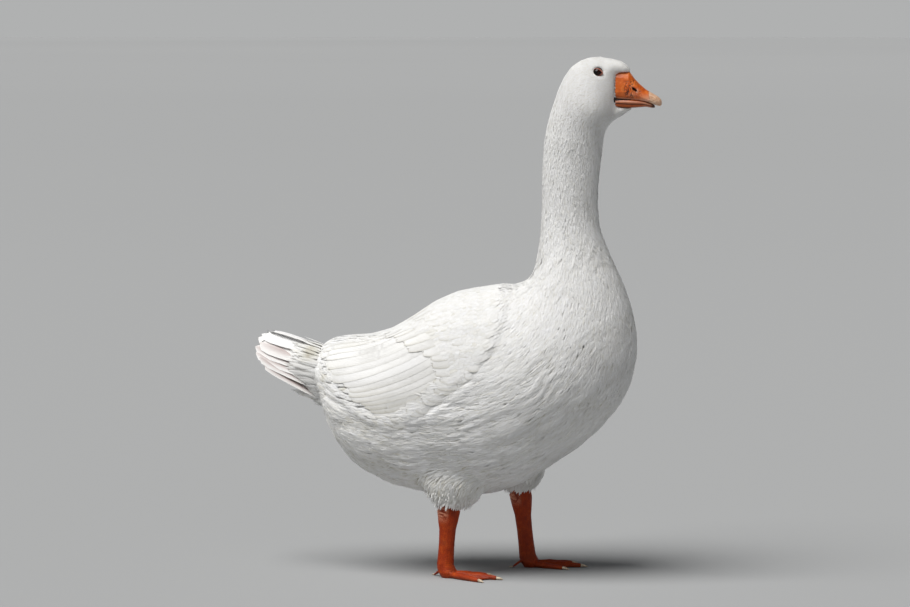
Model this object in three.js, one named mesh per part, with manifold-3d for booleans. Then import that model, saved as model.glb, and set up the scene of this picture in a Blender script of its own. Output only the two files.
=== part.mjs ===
// A domestic goose of a white, heavy farm breed, standing alert with its neck up and its left leg forward.
// Millimetres. +X is the way the goose faces, +Y its left side, +Z up. The floor is z = 0.
// Every outline is the outer one: it runs over the tips of the feathers.

import * as THREE from "three";
import { mergeVertices } from "three/addons/utils/BufferGeometryUtils.js";
import Module from "manifold-3d";

const wasm = await Module();
wasm.setup();

// ---------------------------------------------------------------- driving dimensions

const GAP = 0.3; // clear space between neighbouring pieces
const RING = 22; // points round a section of trunk, neck or head
const RINGS_PER_STATION = 1.5;

const EYE_RADIUS = 8.2;
const EYE_CENTRE = [233, 17.3, 796.5]; // the left eye; the right one mirrors it

const BILL_BASE_X = 259.6;
const GAPE_Z = 756.5; // height of the corner of the mouth
const NOSTRIL = [291, 13.6, 770];
const NAIL_START_X = 307.5;
const NAIL_BACK_ROUNDING = 19;

const WING_PROUD = 5; // how far the folded wing stands out from the flank
const WING_DEPTH = 9; // how deep it lies in the side feathers
const WING_FROM_MIDLINE = 1.5;
const WING_MIDDLE = { x: -50, y: 370 };

const TAIL_FEATHERS = 12;
const TAIL_FEATHER_WIDTH = 28;
const TAIL_FEATHER_THICK = 2.2;
const TAIL_SINK = 8; // how much lower the outermost feather lies than its place on the arch

const ANKLE_Z = 21; // where the shank meets the foot
const WEB_THICK = 2;
// hock and ankle are [x, y]. thigh lists level slices of the feathered part as [z, x, halfX, halfY].
const LEGS = {
  right: {
    side: -1,
    hock: [6, -71],
    ankle: [0, -73],
    toesOut: 9,
    shankTop: 121,
    thigh: [
      [113.5, 12, 29, 20],
      [121, 17, 36, 27],
      [138, 13, 49, 36],
      [168, 4, 60, 42],
      [215, -4, 62, 42],
    ],
  },
  left: {
    side: 1,
    hock: [91, 70],
    ankle: [104, 72],
    toesOut: 7,
    shankTop: 134,
    thigh: [
      [125, 91, 24, 20],
      [133, 93, 30, 27],
      [150, 95, 38, 34],
      [178, 92, 48, 40],
      [215, 86, 54, 42],
    ],
  },
};

const COLOURS = {
  feather: { color: 0xf2f1ec, roughness: 0.75 },
  bill: { color: 0xd9722f, roughness: 0.45 },
  nail: { color: 0xd9b39a, roughness: 0.4 },
  leg: { color: 0xc4562a, roughness: 0.6 },
  claw: { color: 0xb09a86, roughness: 0.45 },
  eye: { color: 0x2a1408, roughness: 0.08 },
};

// ---------------------------------------------------------------- the long outline of the bird

// Each station is one slice from the back line to the belly line, from the root of the tail to the face.
// back and belly are [x, z], half is half the width, pear pushes that width down towards the belly side,
// and square fills the corners of the oval: 1 is a plain oval, less is squarer.
const BODY = [
  { back: [-221, 349], belly: [-221, 284], half: 36, pear: 0.0, square: 1 },
  { back: [-204, 366], belly: [-206, 244], half: 62, pear: 0.0, square: 0.95 },
  { back: [-174, 372], belly: [-183, 198], half: 86, pear: 0.05, square: 0.92 },
  { back: [-119, 378], belly: [-148, 164], half: 106, pear: 0.08, square: 0.92 },
  { back: [-69, 404], belly: [-100, 140], half: 119, pear: 0.08, square: 0.92 },
  { back: [-14, 439], belly: [-42, 126], half: 127, pear: 0.08, square: 0.93 },
  { back: [38, 452], belly: [26, 122], half: 132, pear: 0.1, square: 0.94 },
  { back: [88, 460], belly: [90, 134], half: 131, pear: 0.12, square: 0.96 },
  { back: [118, 469], belly: [153, 170], half: 125, pear: 0.14, square: 0.98 },
  { back: [127, 481], belly: [220, 219], half: 113, pear: 0.15, square: 1 },
  { back: [132, 498], belly: [268, 272], half: 97, pear: 0.15, square: 1 },
  { back: [135, 518], belly: [290, 328], half: 80, pear: 0.12, square: 1 },
  { back: [138, 540], belly: [293, 385], half: 64, pear: 0.1, square: 1 },
  { back: [140, 567], belly: [277, 450], half: 50, pear: 0.06, square: 1 },
  { back: [141, 598], belly: [252, 505], half: 42, pear: 0.03, square: 1 },
  { back: [141, 630], belly: [233, 553], half: 38, pear: 0, square: 1 },
  { back: [142, 662], belly: [230, 604], half: 36, pear: 0, square: 1 },
  { back: [145, 692], belly: [234, 648], half: 35.5, pear: 0, square: 1 },
  { back: [151, 722], belly: [238, 682], half: 37, pear: 0.05, square: 1 },
  { back: [160, 750], belly: [241, 702], half: 40.5, pear: 0.12, square: 0.97 },
  { back: [172, 782], belly: [245, 712], half: 42.5, pear: 0.24, square: 0.93 },
  { back: [190, 808], belly: [250, 716], half: 40.5, pear: 0.32, square: 0.9 },
  { back: [216, 820.5], belly: [255, 721], half: 34, pear: 0.3, square: 0.88 },
  { back: [242, 821], belly: [258.5, 727], half: 22.5, pear: 0.18, square: 0.86 },
  { back: [259, 815.5], belly: [259.2, 735], half: 17.2, pear: 0.1, square: 0.78 },
];
// The slices between which the bird is parted.
const TRUNK_END = 12;
const LOWER_NECK_END = 15;
const NECK_END = 19;

// ---------------------------------------------------------------- solids and meshes

function signedVolume(positions, triangles) {
  let six = 0;
  const corner = (i) => new THREE.Vector3().fromArray(positions, 3 * i);
  for (let i = 0; i < triangles.length; i += 3)
    six += corner(triangles[i]).dot(corner(triangles[i + 1]).cross(corner(triangles[i + 2])));
  return six / 6;
}

// A manifold-3d solid from any closed three.js geometry, turned to face out.
function toSolid(geometry) {
  const bare = geometry.index ? geometry.toNonIndexed() : geometry.clone();
  bare.deleteAttribute("normal");
  bare.deleteAttribute("uv");
  const merged = mergeVertices(bare, 1e-4);
  const vertProperties = merged.attributes.position.array;
  const triVerts = new Uint32Array(merged.index.array);
  if (signedVolume(vertProperties, triVerts) < 0) triVerts.reverse();
  return new wasm.Manifold(new wasm.Mesh({ numProp: 3, vertProperties, triVerts }));
}

function toGeometry(solid) {
  const mesh = solid.getMesh();
  const positions = new Float32Array(mesh.numVert * 3);
  for (let i = 0; i < mesh.numVert; i++)
    positions.set(mesh.vertProperties.subarray(i * mesh.numProp, i * mesh.numProp + 3), 3 * i);
  const geometry = new THREE.BufferGeometry();
  geometry.setAttribute("position", new THREE.BufferAttribute(positions, 3));
  geometry.setIndex(new THREE.BufferAttribute(mesh.triVerts, 1));
  return geometry.toNonIndexed();
}

const joined = (solids) => solids.reduce((all, one) => all.add(one));

// A box between two corners, as a solid for cutting with.
function block(low, high) {
  const size = new THREE.Vector3(...high).sub(new THREE.Vector3(...low));
  const box = new THREE.BoxGeometry(size.x, size.y, size.z);
  box.translate(low[0] + size.x / 2, low[1] + size.y / 2, low[2] + size.z / 2);
  return toSolid(box);
}

// ---------------------------------------------------------------- lofting

// One ring of points. A section has a centre, up and side half-axes, and the pear and square of a station.
function ringOf({ centre, up, side, pear = 0, square = 1 }, points) {
  const ring = [];
  for (let i = 0; i < points; i++) {
    const angle = (2 * Math.PI * i) / points;
    const along = Math.sign(Math.cos(angle)) * Math.abs(Math.cos(angle)) ** square;
    const across = Math.sign(Math.sin(angle)) * Math.abs(Math.sin(angle)) ** square;
    ring.push(
      centre
        .clone()
        .addScaledVector(up, along)
        .addScaledVector(side, across * (1 - pear * along)),
    );
  }
  return ring;
}

// A closed geometry through a list of sections, with a flat cap at each end.
function loft(sections, points = RING) {
  const rings = sections.map((section) => ringOf(section, points));
  const vertices = rings.flat();
  const triangles = [];
  const at = (ring, i) => ring * points + (i % points);
  for (let r = 0; r + 1 < rings.length; r++)
    for (let i = 0; i < points; i++)
      triangles.push(
        ...[at(r, i), at(r, i + 1), at(r + 1, i)],
        ...[at(r, i + 1), at(r + 1, i + 1), at(r + 1, i)],
      );
  for (const [ring, flip] of [
    [0, false],
    [rings.length - 1, true],
  ]) {
    const middle = vertices.push(sections[ring].centre.clone()) - 1;
    for (let i = 0; i < points; i++)
      triangles.push(
        ...(flip ? [middle, at(ring, i), at(ring, i + 1)] : [middle, at(ring, i + 1), at(ring, i)]),
      );
  }
  const geometry = new THREE.BufferGeometry().setFromPoints(vertices);
  geometry.setIndex(triangles);
  return geometry;
}

// Smooth slices through a list of stations. The back line and the belly line lie in the plane y = 0.
function slicer(stations) {
  const curve = (pick, type) => new THREE.CatmullRomCurve3(stations.map(pick), false, type);
  const backLine = curve(({ back }) => new THREE.Vector3(back[0], 0, back[1]), "centripetal");
  const bellyLine = curve(({ belly }) => new THREE.Vector3(belly[0], 0, belly[1]), "centripetal");
  const girth = curve((s) => new THREE.Vector3(s.half, 100 * s.pear, 100 * s.square), "catmullrom");
  return (station, grow = 0) => {
    const t = station / (stations.length - 1);
    const back = backLine.getPoint(t);
    const belly = bellyLine.getPoint(t);
    const { x: half, y: pear, z: square } = girth.getPoint(t);
    const up = back.clone().sub(belly).multiplyScalar(0.5);
    up.setLength(up.length() + grow);
    return {
      centre: back.clone().add(belly).multiplyScalar(0.5),
      up,
      side: new THREE.Vector3(0, half + grow, 0),
      pear: pear / 100,
      square: square / 100,
    };
  };
}

// The slices from one station to another. The first slice steps forward by the gap, out of its neighbour.
function stretch(sliceAt, from, to, { grow = 0, leadGap = 0, perStation = RINGS_PER_STATION } = {}) {
  const sections = [];
  const count = Math.round((to - from) * perStation);
  for (let i = 0; i <= count; i++) sections.push(sliceAt(from + (i * (to - from)) / count, grow));
  if (leadGap) {
    const forward = new THREE.Vector3().crossVectors(sections[0].side, sections[0].up).normalize();
    const ahead = sections[1].centre.clone().sub(sections[0].centre);
    sections[0].centre.addScaledVector(forward, Math.sign(forward.dot(ahead)) * leadGap);
  }
  return sections;
}

// ---------------------------------------------------------------- head and bill

// The bill's slices: the same kind of station as the body's, all of them upright.
const upright = (x, top, bottom, half, pear, square) => ({
  back: [x, top],
  belly: [x, bottom],
  half,
  pear,
  square,
});
const UPPER_BILL = [
  upright(BILL_BASE_X, 798.5, GAPE_Z, 15.5, 0.2, 0.66),
  upright(271, 798.8, 755.6, 15.3, 0.24, 0.66),
  upright(280.5, 797.8, 755, 15.2, 0.29, 0.7),
  upright(288.5, 787, 754.4, 15.2, 0.32, 0.72),
  upright(297, 778.4, 753.4, 15, 0.3, 0.75),
  upright(306, 770.6, 751.4, 14.4, 0.26, 0.8),
  upright(316, 765, 748, 12.8, 0.18, 0.85),
  upright(324, 760.6, 745, 10.4, 0.1, 0.9),
  upright(329.2, 756.4, 744.2, 7, 0.05, 1),
  upright(331.4, 753, 746, 3, 0, 1),
];
const LOWER_BILL = [
  upright(BILL_BASE_X, GAPE_Z - 0.8, 742, 15.2, 0.0, 0.7),
  upright(270, 754.8, 741.6, 14.8, -0.05, 0.7),
  upright(284, 753.9, 741.2, 14, -0.12, 0.7),
  upright(298, 752.3, 742.4, 13.2, -0.15, 0.7),
  upright(308, 749.8, 743, 11.6, -0.1, 0.75),
  upright(316, 746.6, 741.4, 8.6, 0, 0.85),
  upright(320.5, 744, 741.6, 4.4, 0, 1),
];
const FOREHEAD = [
  upright(248, 820.4, 790, 22, 0.3, 0.85),
  upright(260, 817.4, 795, 15.8, 0.2, 0.8),
  upright(270, 813.4, 795.6, 13.6, 0.15, 0.8),
  upright(277, 807.4, 796, 10.6, 0.1, 0.85),
  upright(281.5, 800.2, 796.4, 6.4, 0, 0.9),
];
const CHIN = [
  upright(246, 745, 716, 23, 0, 0.9),
  upright(258, 746, 722.5, 16, 0, 0.9),
  upright(268, 746, 728.5, 14, 0, 0.9),
  upright(277, 745, 735, 10, 0, 0.9),
  upright(285, 743.5, 739.6, 5.5, 0, 0.9),
];

// A solid through a whole list of stations. Growing it also moves its first slice back.
function solidThrough(stations, points, perStation = 1, grow = 0) {
  const sections = stretch(slicer(stations), 0, stations.length - 1, { perStation, grow });
  sections[0].centre.x -= grow * Math.sign(sections[1].centre.x - sections[0].centre.x);
  return toSolid(loft(sections, points));
}

// A slit that runs down and forward.
function nostril(side) {
  const slit = new THREE.SphereGeometry(1, 10, 6);
  slit.scale(4.6, 4.2, 1.8);
  slit.rotateY(THREE.MathUtils.degToRad(40));
  slit.translate(NOSTRIL[0], side * NOSTRIL[1], NOSTRIL[2]);
  return toSolid(slit);
}

function nailTool(grow) {
  const rounded = new THREE.SphereGeometry(1, 16, 10);
  rounded.scale(24 + grow, NAIL_BACK_ROUNDING + grow, 24 + grow);
  rounded.translate(NAIL_START_X + 24, 0, 755);
  return toSolid(rounded);
}

function eyeball(side, grow) {
  const ball = new THREE.SphereGeometry(EYE_RADIUS + grow, 12, 8);
  ball.translate(EYE_CENTRE[0], side * EYE_CENTRE[1], EYE_CENTRE[2]);
  return toSolid(ball);
}

function makeHead(bodySlice) {
  const skull = toSolid(
    loft(stretch(bodySlice, NECK_END, BODY.length - 1, { leadGap: GAP }), RING),
  );
  const feathered = joined([skull, solidThrough(FOREHEAD, 16), solidThrough(CHIN, 14)]);
  return feathered
    .subtract(solidThrough(UPPER_BILL, 16, 1, GAP))
    .subtract(solidThrough(LOWER_BILL, 14, 1, GAP))
    .subtract(eyeball(1, GAP))
    .subtract(eyeball(-1, GAP));
}

function makeBill() {
  const whole = solidThrough(UPPER_BILL, 16);
  const pierced = whole.subtract(nostril(1)).subtract(nostril(-1));
  return {
    upper: pierced.subtract(nailTool(GAP)),
    nail: pierced.intersect(nailTool(0)),
    lower: solidThrough(LOWER_BILL, 14),
  };
}

// ---------------------------------------------------------------- wings

// The folded wing seen from the side, as the outline of its lowest and hindmost feather tips.
function wingOutline() {
  const edge = new THREE.Shape();
  edge.moveTo(-213, 385);
  edge.lineTo(-60, 470);
  edge.lineTo(70, 500);
  edge.lineTo(98, 440);
  edge.quadraticCurveTo(98, 352, 24, 303);
  edge.quadraticCurveTo(-30, 262, -76, 236);
  edge.quadraticCurveTo(-120, 240, -168, 278);
  edge.lineTo(-195, 304);
  edge.quadraticCurveTo(-222, 336, -213, 385);
  return edge;
}

// The outline as a slab on one side of the bird, from near the midline out. Clearance makes it bigger.
function wingSlab(side, clearance) {
  const reach = 200;
  const slab = new THREE.ExtrudeGeometry(wingOutline(), {
    depth: reach,
    bevelEnabled: false,
    curveSegments: 5,
  });
  const { x, y } = WING_MIDDLE;
  slab.translate(-x, -y, 0);
  slab.scale(1 + clearance / 90, 1 + clearance / 90, 1);
  slab.translate(x, y, 0);
  // The extrusion runs along +Z of its own frame. Standing it up turns that into -Y.
  slab.rotateX(Math.PI / 2);
  const fromMidline = WING_FROM_MIDLINE - clearance;
  slab.translate(0, side > 0 ? reach + fromMidline : -fromMidline, 0);
  return toSolid(slab);
}

// ---------------------------------------------------------------- tail

// The fan is arched like a saddle. These are the roots and tips of its right half, from the middle outwards.
const TAIL_ROOTS = [
  [-205, 0, 347],
  [-206, -14, 342],
  [-208, -25, 324],
  [-208, -32, 302],
  [-209, -34, 277],
];
const TAIL_TIPS = [
  [-306, 0, 380],
  [-312, -21, 374],
  [-315, -40, 362],
  [-312, -55, 348],
  [-299, -64, 334],
];
const SOFT_TAIL = [
  upright(-198, 350, 246, 50, 0, 1),
  upright(-217, 352, 264, 50, 0, 0.95),
  upright(-236, 357, 282, 46, 0, 0.9),
  upright(-254, 363, 300, 39, 0.1, 0.9),
  upright(-270, 368, 322, 28, 0.1, 0.9),
  upright(-283, 369, 348, 14, 0, 0.9),
];

// A flat feather with a round tip, lying along +X with its root at the origin.
function tailFeather(length, width) {
  const vane = new THREE.Shape();
  vane.moveTo(0, -width * 0.34);
  vane.lineTo(length - width * 0.6, -width / 2);
  vane.quadraticCurveTo(length - width * 0.06, -width / 2, length, 0);
  vane.quadraticCurveTo(length - width * 0.06, width / 2, length - width * 0.6, width / 2);
  vane.lineTo(0, width * 0.34);
  return new THREE.ExtrudeGeometry(vane, {
    depth: TAIL_FEATHER_THICK,
    bevelEnabled: false,
    curveSegments: 2,
  });
}

// A smooth line across the whole fan, from the outermost right feather to the outermost left one.
function fanLine(rightHalf) {
  const right = rightHalf.map((point) => new THREE.Vector3(...point));
  const left = right.slice(1).map((point) => point.clone().setY(-point.y));
  return new THREE.CatmullRomCurve3([...right.reverse(), ...left], false, "centripetal");
}

function makeTail() {
  const roots = fanLine(TAIL_ROOTS);
  const tips = fanLine(TAIL_TIPS);
  const feathers = [];
  for (let i = 0; i < TAIL_FEATHERS; i++) {
    const share = i / (TAIL_FEATHERS - 1);
    const root = roots.getPoint(share);
    const along = tips.getPoint(share).sub(root);
    const feather = tailFeather(along.length(), TAIL_FEATHER_WIDTH);
    along.normalize();
    const across = tips.getTangent(share);
    const normal = new THREE.Vector3().crossVectors(along, across).normalize();
    across.crossVectors(normal, along);
    // The middle feather lies on top, and each one outwards lies a little lower.
    const sink = -TAIL_SINK * Math.abs(2 * share - 1) * Math.sign(normal.z);
    feather.applyMatrix4(new THREE.Matrix4().makeBasis(along, across, normal));
    feather.translate(...root.addScaledVector(normal, sink - TAIL_FEATHER_THICK / 2));
    feathers.push(toSolid(feather));
  }
  return joined([solidThrough(SOFT_TAIL, 16, 1), ...feathers]);
}

// ---------------------------------------------------------------- legs and feet

const levelSection = (x, y, z, halfX, halfY, square = 1) => ({
  centre: new THREE.Vector3(x, y, z),
  up: new THREE.Vector3(halfX, 0, 0),
  side: new THREE.Vector3(0, halfY, 0),
  pear: 0,
  square,
});

// The feathered thigh: a short cone that comes down out of the flank round the top of the shank.
function thighShape({ hock, thigh }) {
  const leanIn = (z) => Math.sign(hock[1]) * Math.max(0, z - 125) * 0.2;
  const levels = thigh.map(([z, x, halfX, halfY]) =>
    levelSection(x, hock[1] - leanIn(z), z, halfX, halfY),
  );
  return toSolid(loft(levels, 16));
}

// The scaled shank, from the knobbly hock down to the ankle.
const SHANK = [
  { share: 0, halfX: 17, halfY: 12.5 },
  { share: 0.17, halfX: 18.5, halfY: 13.5 },
  { share: 0.3, halfX: 16.4, halfY: 12.4 },
  { share: 0.45, halfX: 13.4, halfY: 10.2 },
  { share: 0.65, halfX: 12.6, halfY: 9.6 },
  { share: 0.84, halfX: 12.8, halfY: 10 },
  { share: 1, halfX: 13.6, halfY: 12 },
];

function shank({ hock, ankle, shankTop }, grow = 0) {
  const bottom = ANKLE_Z + GAP;
  const sections = SHANK.map(({ share, halfX, halfY }) =>
    levelSection(
      hock[0] + (ankle[0] - hock[0]) * share,
      hock[1] + (ankle[1] - hock[1]) * share,
      shankTop + (share === 0 ? grow : 0) + (bottom - shankTop) * share,
      halfX + grow,
      halfY + grow,
      0.95,
    ),
  );
  return toSolid(loft(sections, 14));
}

// Toes in the foot's own frame: the ankle stands over the origin and the middle toe points along +X.
// angle is how far a toe turns out from the middle one, and outward is the bird's outer side.
const TOES = {
  inner: { angle: -27, length: 66, half: 5.6, joints: 2 },
  middle: { angle: 0, length: 86, half: 6.2, joints: 3 },
  outer: { angle: 27, length: 78, half: 5.8, joints: 4 },
};
// The hind toe starts inside and behind the ankle, and falls by so much for each step back.
const HIND_TOE = { angle: 155, length: 21, half: 4, root: [-6, 4, 13], fall: 0.52 };
const TOE_RINGS = 6;
const PAD_PRESS = 0.86; // a toe's middle stands this share of its half height over the floor
const CLAW_HALF = 3.2;
const HIND_CLAW_HALF = 1.9;

// A toe swells at each joint and tapers towards its claw.
function toe({ angle, length, half, joints }, side) {
  const turn = THREE.MathUtils.degToRad(side * angle);
  const forward = new THREE.Vector3(Math.cos(turn), Math.sin(turn), 0);
  const across = new THREE.Vector3(-Math.sin(turn), Math.cos(turn), 0);
  const sections = [];
  for (let i = 0; i <= TOE_RINGS; i++) {
    const share = i / TOE_RINGS;
    const knuckle = 1 + 0.09 * Math.cos(2 * Math.PI * share * joints);
    const width = half * (1.12 - 0.34 * share) * knuckle * (i === TOE_RINGS ? 0.72 : 1);
    const height = width * 0.92;
    const middle = PAD_PRESS * height + 2 * (1 - share) ** 3;
    sections.push({
      centre: forward.clone().multiplyScalar(share * length).setZ(middle),
      up: new THREE.Vector3(0, 0, height),
      side: across.clone().multiplyScalar(width),
    });
  }
  return toSolid(loft(sections, 8));
}

// Where the hind toe starts, and its direction back, inwards and down to the floor.
function hindLine(side) {
  const { angle, root, fall } = HIND_TOE;
  const turn = THREE.MathUtils.degToRad(side * -angle);
  const level = new THREE.Vector3(Math.cos(turn), Math.sin(turn), 0);
  return {
    start: new THREE.Vector3(root[0], -side * root[1], root[2]),
    away: level.clone().multiplyScalar(Math.sqrt(1 - fall * fall)).setZ(-fall),
    level,
    turn,
  };
}

function hindToe(side) {
  const { length, half, fall } = HIND_TOE;
  const { start, away, turn } = hindLine(side);
  const up = new THREE.Vector3(fall, 0, Math.sqrt(1 - fall * fall)).multiplyScalar(half);
  const across = new THREE.Vector3(-Math.sin(turn), Math.cos(turn), 0).multiplyScalar(half);
  const girths = [1, 1.05, 0.9, 0.95, 0.6];
  const sections = girths.map((girth, i) => ({
    centre: start.clone().addScaledVector(away, (length * i) / (girths.length - 1)),
    up: up.clone().multiplyScalar(girth),
    side: across.clone().multiplyScalar(girth),
  }));
  return toSolid(loft(sections, 8));
}

function toeTip({ angle, length }, side, reach = 1) {
  const turn = THREE.MathUtils.degToRad(side * angle);
  return new THREE.Vector2(Math.cos(turn), Math.sin(turn)).multiplyScalar(length * reach);
}

// The web between the three front toes, with a hollow front edge in each bay.
function web(side) {
  const tips = [TOES.outer, TOES.middle, TOES.inner].map((one) => toeTip(one, side, 0.93));
  const sheet = new THREE.Shape();
  sheet.moveTo(-6, 0);
  sheet.lineTo(tips[0].x, tips[0].y);
  for (const [from, to] of [
    [tips[0], tips[1]],
    [tips[1], tips[2]],
  ]) {
    const hollow = from.clone().add(to).multiplyScalar(0.5 * 0.84);
    sheet.quadraticCurveTo(hollow.x, hollow.y, to.x, to.y);
  }
  sheet.closePath();
  const plate = new THREE.ExtrudeGeometry(sheet, {
    depth: WEB_THICK,
    bevelEnabled: false,
    curveSegments: 4,
  });
  plate.translate(0, 0, 1);
  return toSolid(plate);
}

// The knuckle under the shank, which spreads into the toes and stands on a pad of its own.
function ankle() {
  return toSolid(
    loft(
      [
        levelSection(0, 0, ANKLE_Z, 13.4, 11.8, 0.95),
        levelSection(2, 0, 14, 15, 13),
        levelSection(5, 0, 8, 16, 14.5),
        levelSection(7, 0, 2.5, 14, 13),
        levelSection(7, 0, 0, 12.5, 11.5),
      ],
      14,
    ),
  );
}

const aboveFloor = block([-200, -200, 0], [200, 200, 200]);

function foot(side) {
  const front = Object.values(TOES).map((one) => toe(one, side));
  return joined([ankle(), hindToe(side), web(side), ...front]).intersect(aboveFloor);
}

// A claw: a curved cone from the end of a toe, with its tip just over the floor.
function claw(start, away, length, half, drop) {
  const across = new THREE.Vector3(-away.y, away.x, 0).normalize();
  const sections = [1, 0.8, 0.24].map((girth, i, all) => {
    const share = i / (all.length - 1);
    return {
      centre: start
        .clone()
        .addScaledVector(away, length * share)
        .add(new THREE.Vector3(0, 0, -drop * share * share)),
      up: new THREE.Vector3(0, 0, half * girth * 0.8),
      side: across.clone().multiplyScalar(half * girth),
    };
  });
  return toSolid(loft(sections, 8));
}

function claws(side) {
  const made = {};
  for (const [name, one] of Object.entries(TOES)) {
    const tip = toeTip(one, side);
    const away = new THREE.Vector3(tip.x, tip.y, 0).normalize();
    const start = new THREE.Vector3(tip.x, tip.y, CLAW_HALF).addScaledVector(away, GAP);
    made[name] = claw(start, away, 11, CLAW_HALF, 2);
  }
  const { start, away, level } = hindLine(side);
  const end = start.clone().addScaledVector(away, HIND_TOE.length + 1.5).setZ(HIND_CLAW_HALF);
  made.hind = claw(end, level, 6, HIND_CLAW_HALF, 0.8);
  return made;
}

// ---------------------------------------------------------------- the goose

const goose = new THREE.Group();

function addMesh(name, solid, look, parent = goose) {
  const { color, roughness } = COLOURS[look];
  const material = new THREE.MeshStandardMaterial({ color, roughness, metalness: 0 });
  const mesh = new THREE.Mesh(toGeometry(solid), material);
  mesh.name = name;
  parent.add(mesh);
  return mesh;
}

const bodySlice = slicer(BODY);
const trunkShape = (grow) => toSolid(loft(stretch(bodySlice, 0, TRUNK_END, { grow }), RING));
const wholeTrunk = trunkShape(0);
const underWings = trunkShape(-WING_DEPTH);

// The wings are carved from the outer layer of the trunk, which stays whole beneath them.
const SIDES = { left: 1, right: -1 };
const clearOfWings = Object.values(SIDES).map((side) => wingSlab(side, GAP));
const trunk = joined([wholeTrunk.subtract(clearOfWings[0]).subtract(clearOfWings[1]), underWings]);
addMesh("trunk", trunk, "feather");
for (const [name, side] of Object.entries(SIDES)) {
  const outerLayer = trunkShape(WING_PROUD).subtract(trunkShape(-WING_DEPTH + GAP));
  addMesh("wing_" + name, outerLayer.intersect(wingSlab(side, 0)), "feather");
}

const neckLower = stretch(bodySlice, TRUNK_END, LOWER_NECK_END, { leadGap: GAP });
const neckUpper = stretch(bodySlice, LOWER_NECK_END, NECK_END, { leadGap: GAP });
addMesh("neck_lower", toSolid(loft(neckLower)), "feather");
addMesh("neck_upper", toSolid(loft(neckUpper)), "feather");
addMesh("head", makeHead(bodySlice), "feather");

const bill = makeBill();
addMesh("bill_upper", bill.upper, "bill");
addMesh("bill_lower", bill.lower, "bill");
addMesh("bill_nail", bill.nail, "nail");
for (const [name, side] of Object.entries(SIDES)) addMesh("eye_" + name, eyeball(side, 0), "eye");

const aroundWings = trunkShape(WING_PROUD + GAP);
const tail = makeTail()
  .subtract(trunkShape(GAP))
  .subtract(aroundWings.intersect(clearOfWings[0]))
  .subtract(aroundWings.intersect(clearOfWings[1]));
addMesh("tail", tail, "feather");

for (const [name, leg] of Object.entries(LEGS)) {
  const feathered = thighShape(leg).subtract(trunkShape(GAP)).subtract(shank(leg, GAP));
  addMesh("thigh_" + name, feathered, "feather");
  addMesh("shank_" + name, shank(leg), "leg");
  const standing = new THREE.Group();
  standing.position.set(leg.ankle[0], leg.ankle[1], 0);
  standing.rotation.z = THREE.MathUtils.degToRad(leg.side * leg.toesOut);
  addMesh("foot_" + name, foot(leg.side), "leg", standing);
  for (const [which, solid] of Object.entries(claws(leg.side)))
    addMesh("claw_" + name + "_" + which, solid, "claw", standing);
  goose.add(standing);
}

// The frame's origin is under the middle of the bird's own box, on the floor.
goose.updateMatrixWorld(true);
const middle = new THREE.Box3().setFromObject(goose, true).getCenter(new THREE.Vector3());
goose.position.set(-middle.x, -middle.y, 0);

const part = new THREE.Group();
part.add(goose);
export default part;
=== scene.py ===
# %% [markdown]
# # A white farm goose, feather by feather
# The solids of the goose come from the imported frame: they give its outline out to the tips of the
# feathers. This lesson puts one smooth skin inside them, grows over fifty thousand closed feathers on
# that skin, lays the long wing and tail feathers one by one, and models the bill, the eyes and the scaly
# legs.

# %% Load the frame
import math

import bpy
import numpy as np
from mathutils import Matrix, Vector
from mathutils.bvhtree import BVHTree
from mathutils.kdtree import KDTree


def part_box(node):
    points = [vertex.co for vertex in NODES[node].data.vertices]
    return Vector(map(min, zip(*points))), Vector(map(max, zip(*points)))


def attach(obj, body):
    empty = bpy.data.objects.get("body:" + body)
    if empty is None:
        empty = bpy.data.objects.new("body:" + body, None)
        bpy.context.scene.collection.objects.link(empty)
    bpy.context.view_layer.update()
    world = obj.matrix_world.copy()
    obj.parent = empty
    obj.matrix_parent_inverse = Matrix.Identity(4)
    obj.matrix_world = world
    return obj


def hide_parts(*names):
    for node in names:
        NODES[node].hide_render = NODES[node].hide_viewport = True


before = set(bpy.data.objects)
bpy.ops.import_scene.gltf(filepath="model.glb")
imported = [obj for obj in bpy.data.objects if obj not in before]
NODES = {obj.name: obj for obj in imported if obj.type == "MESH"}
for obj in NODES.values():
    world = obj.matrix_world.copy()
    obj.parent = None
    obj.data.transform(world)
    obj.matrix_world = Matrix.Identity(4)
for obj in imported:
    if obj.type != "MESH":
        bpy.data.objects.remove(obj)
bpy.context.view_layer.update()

MM = 0.001
BODY = "root"
SIDES = {"left": 1, "right": -1}
# The goose's own sizes are in mm, from a point of the floor that lies this far behind the tip of its bill.
BILL_TIP = 331.4
ZERO_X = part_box("bill_nail")[1][0] - BILL_TIP * MM


def place(x, y, z):
    """A point given in the goose's own millimetres, as a vector in the frame."""
    return Vector((ZERO_X + x * MM, y * MM, z * MM))


print("frame loaded:", len(NODES), "nodes")

# %% [markdown]
# ## Camera
# The goose is seen from far away through a long lens, from its right side and a little ahead of it. A
# long lens flattens the perspective, so the far leg looks as big as the near one. The camera looks
# slightly down, which puts the horizon just under the top of the frame.

# %% Camera
CAMERA_AZIMUTH = math.radians(12)
CAMERA_DISTANCE = 6.24  # m
CAMERA_HEIGHT = 0.879  # m
CAMERA_PITCH = math.radians(4.126)
FOCAL_PIXELS = 3930  # the focal length, in pixels of the frame
FRAME_PIXELS = 910  # the frame's width
SENSOR = 36  # mm
FAR_CLIP = 200  # m

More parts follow.
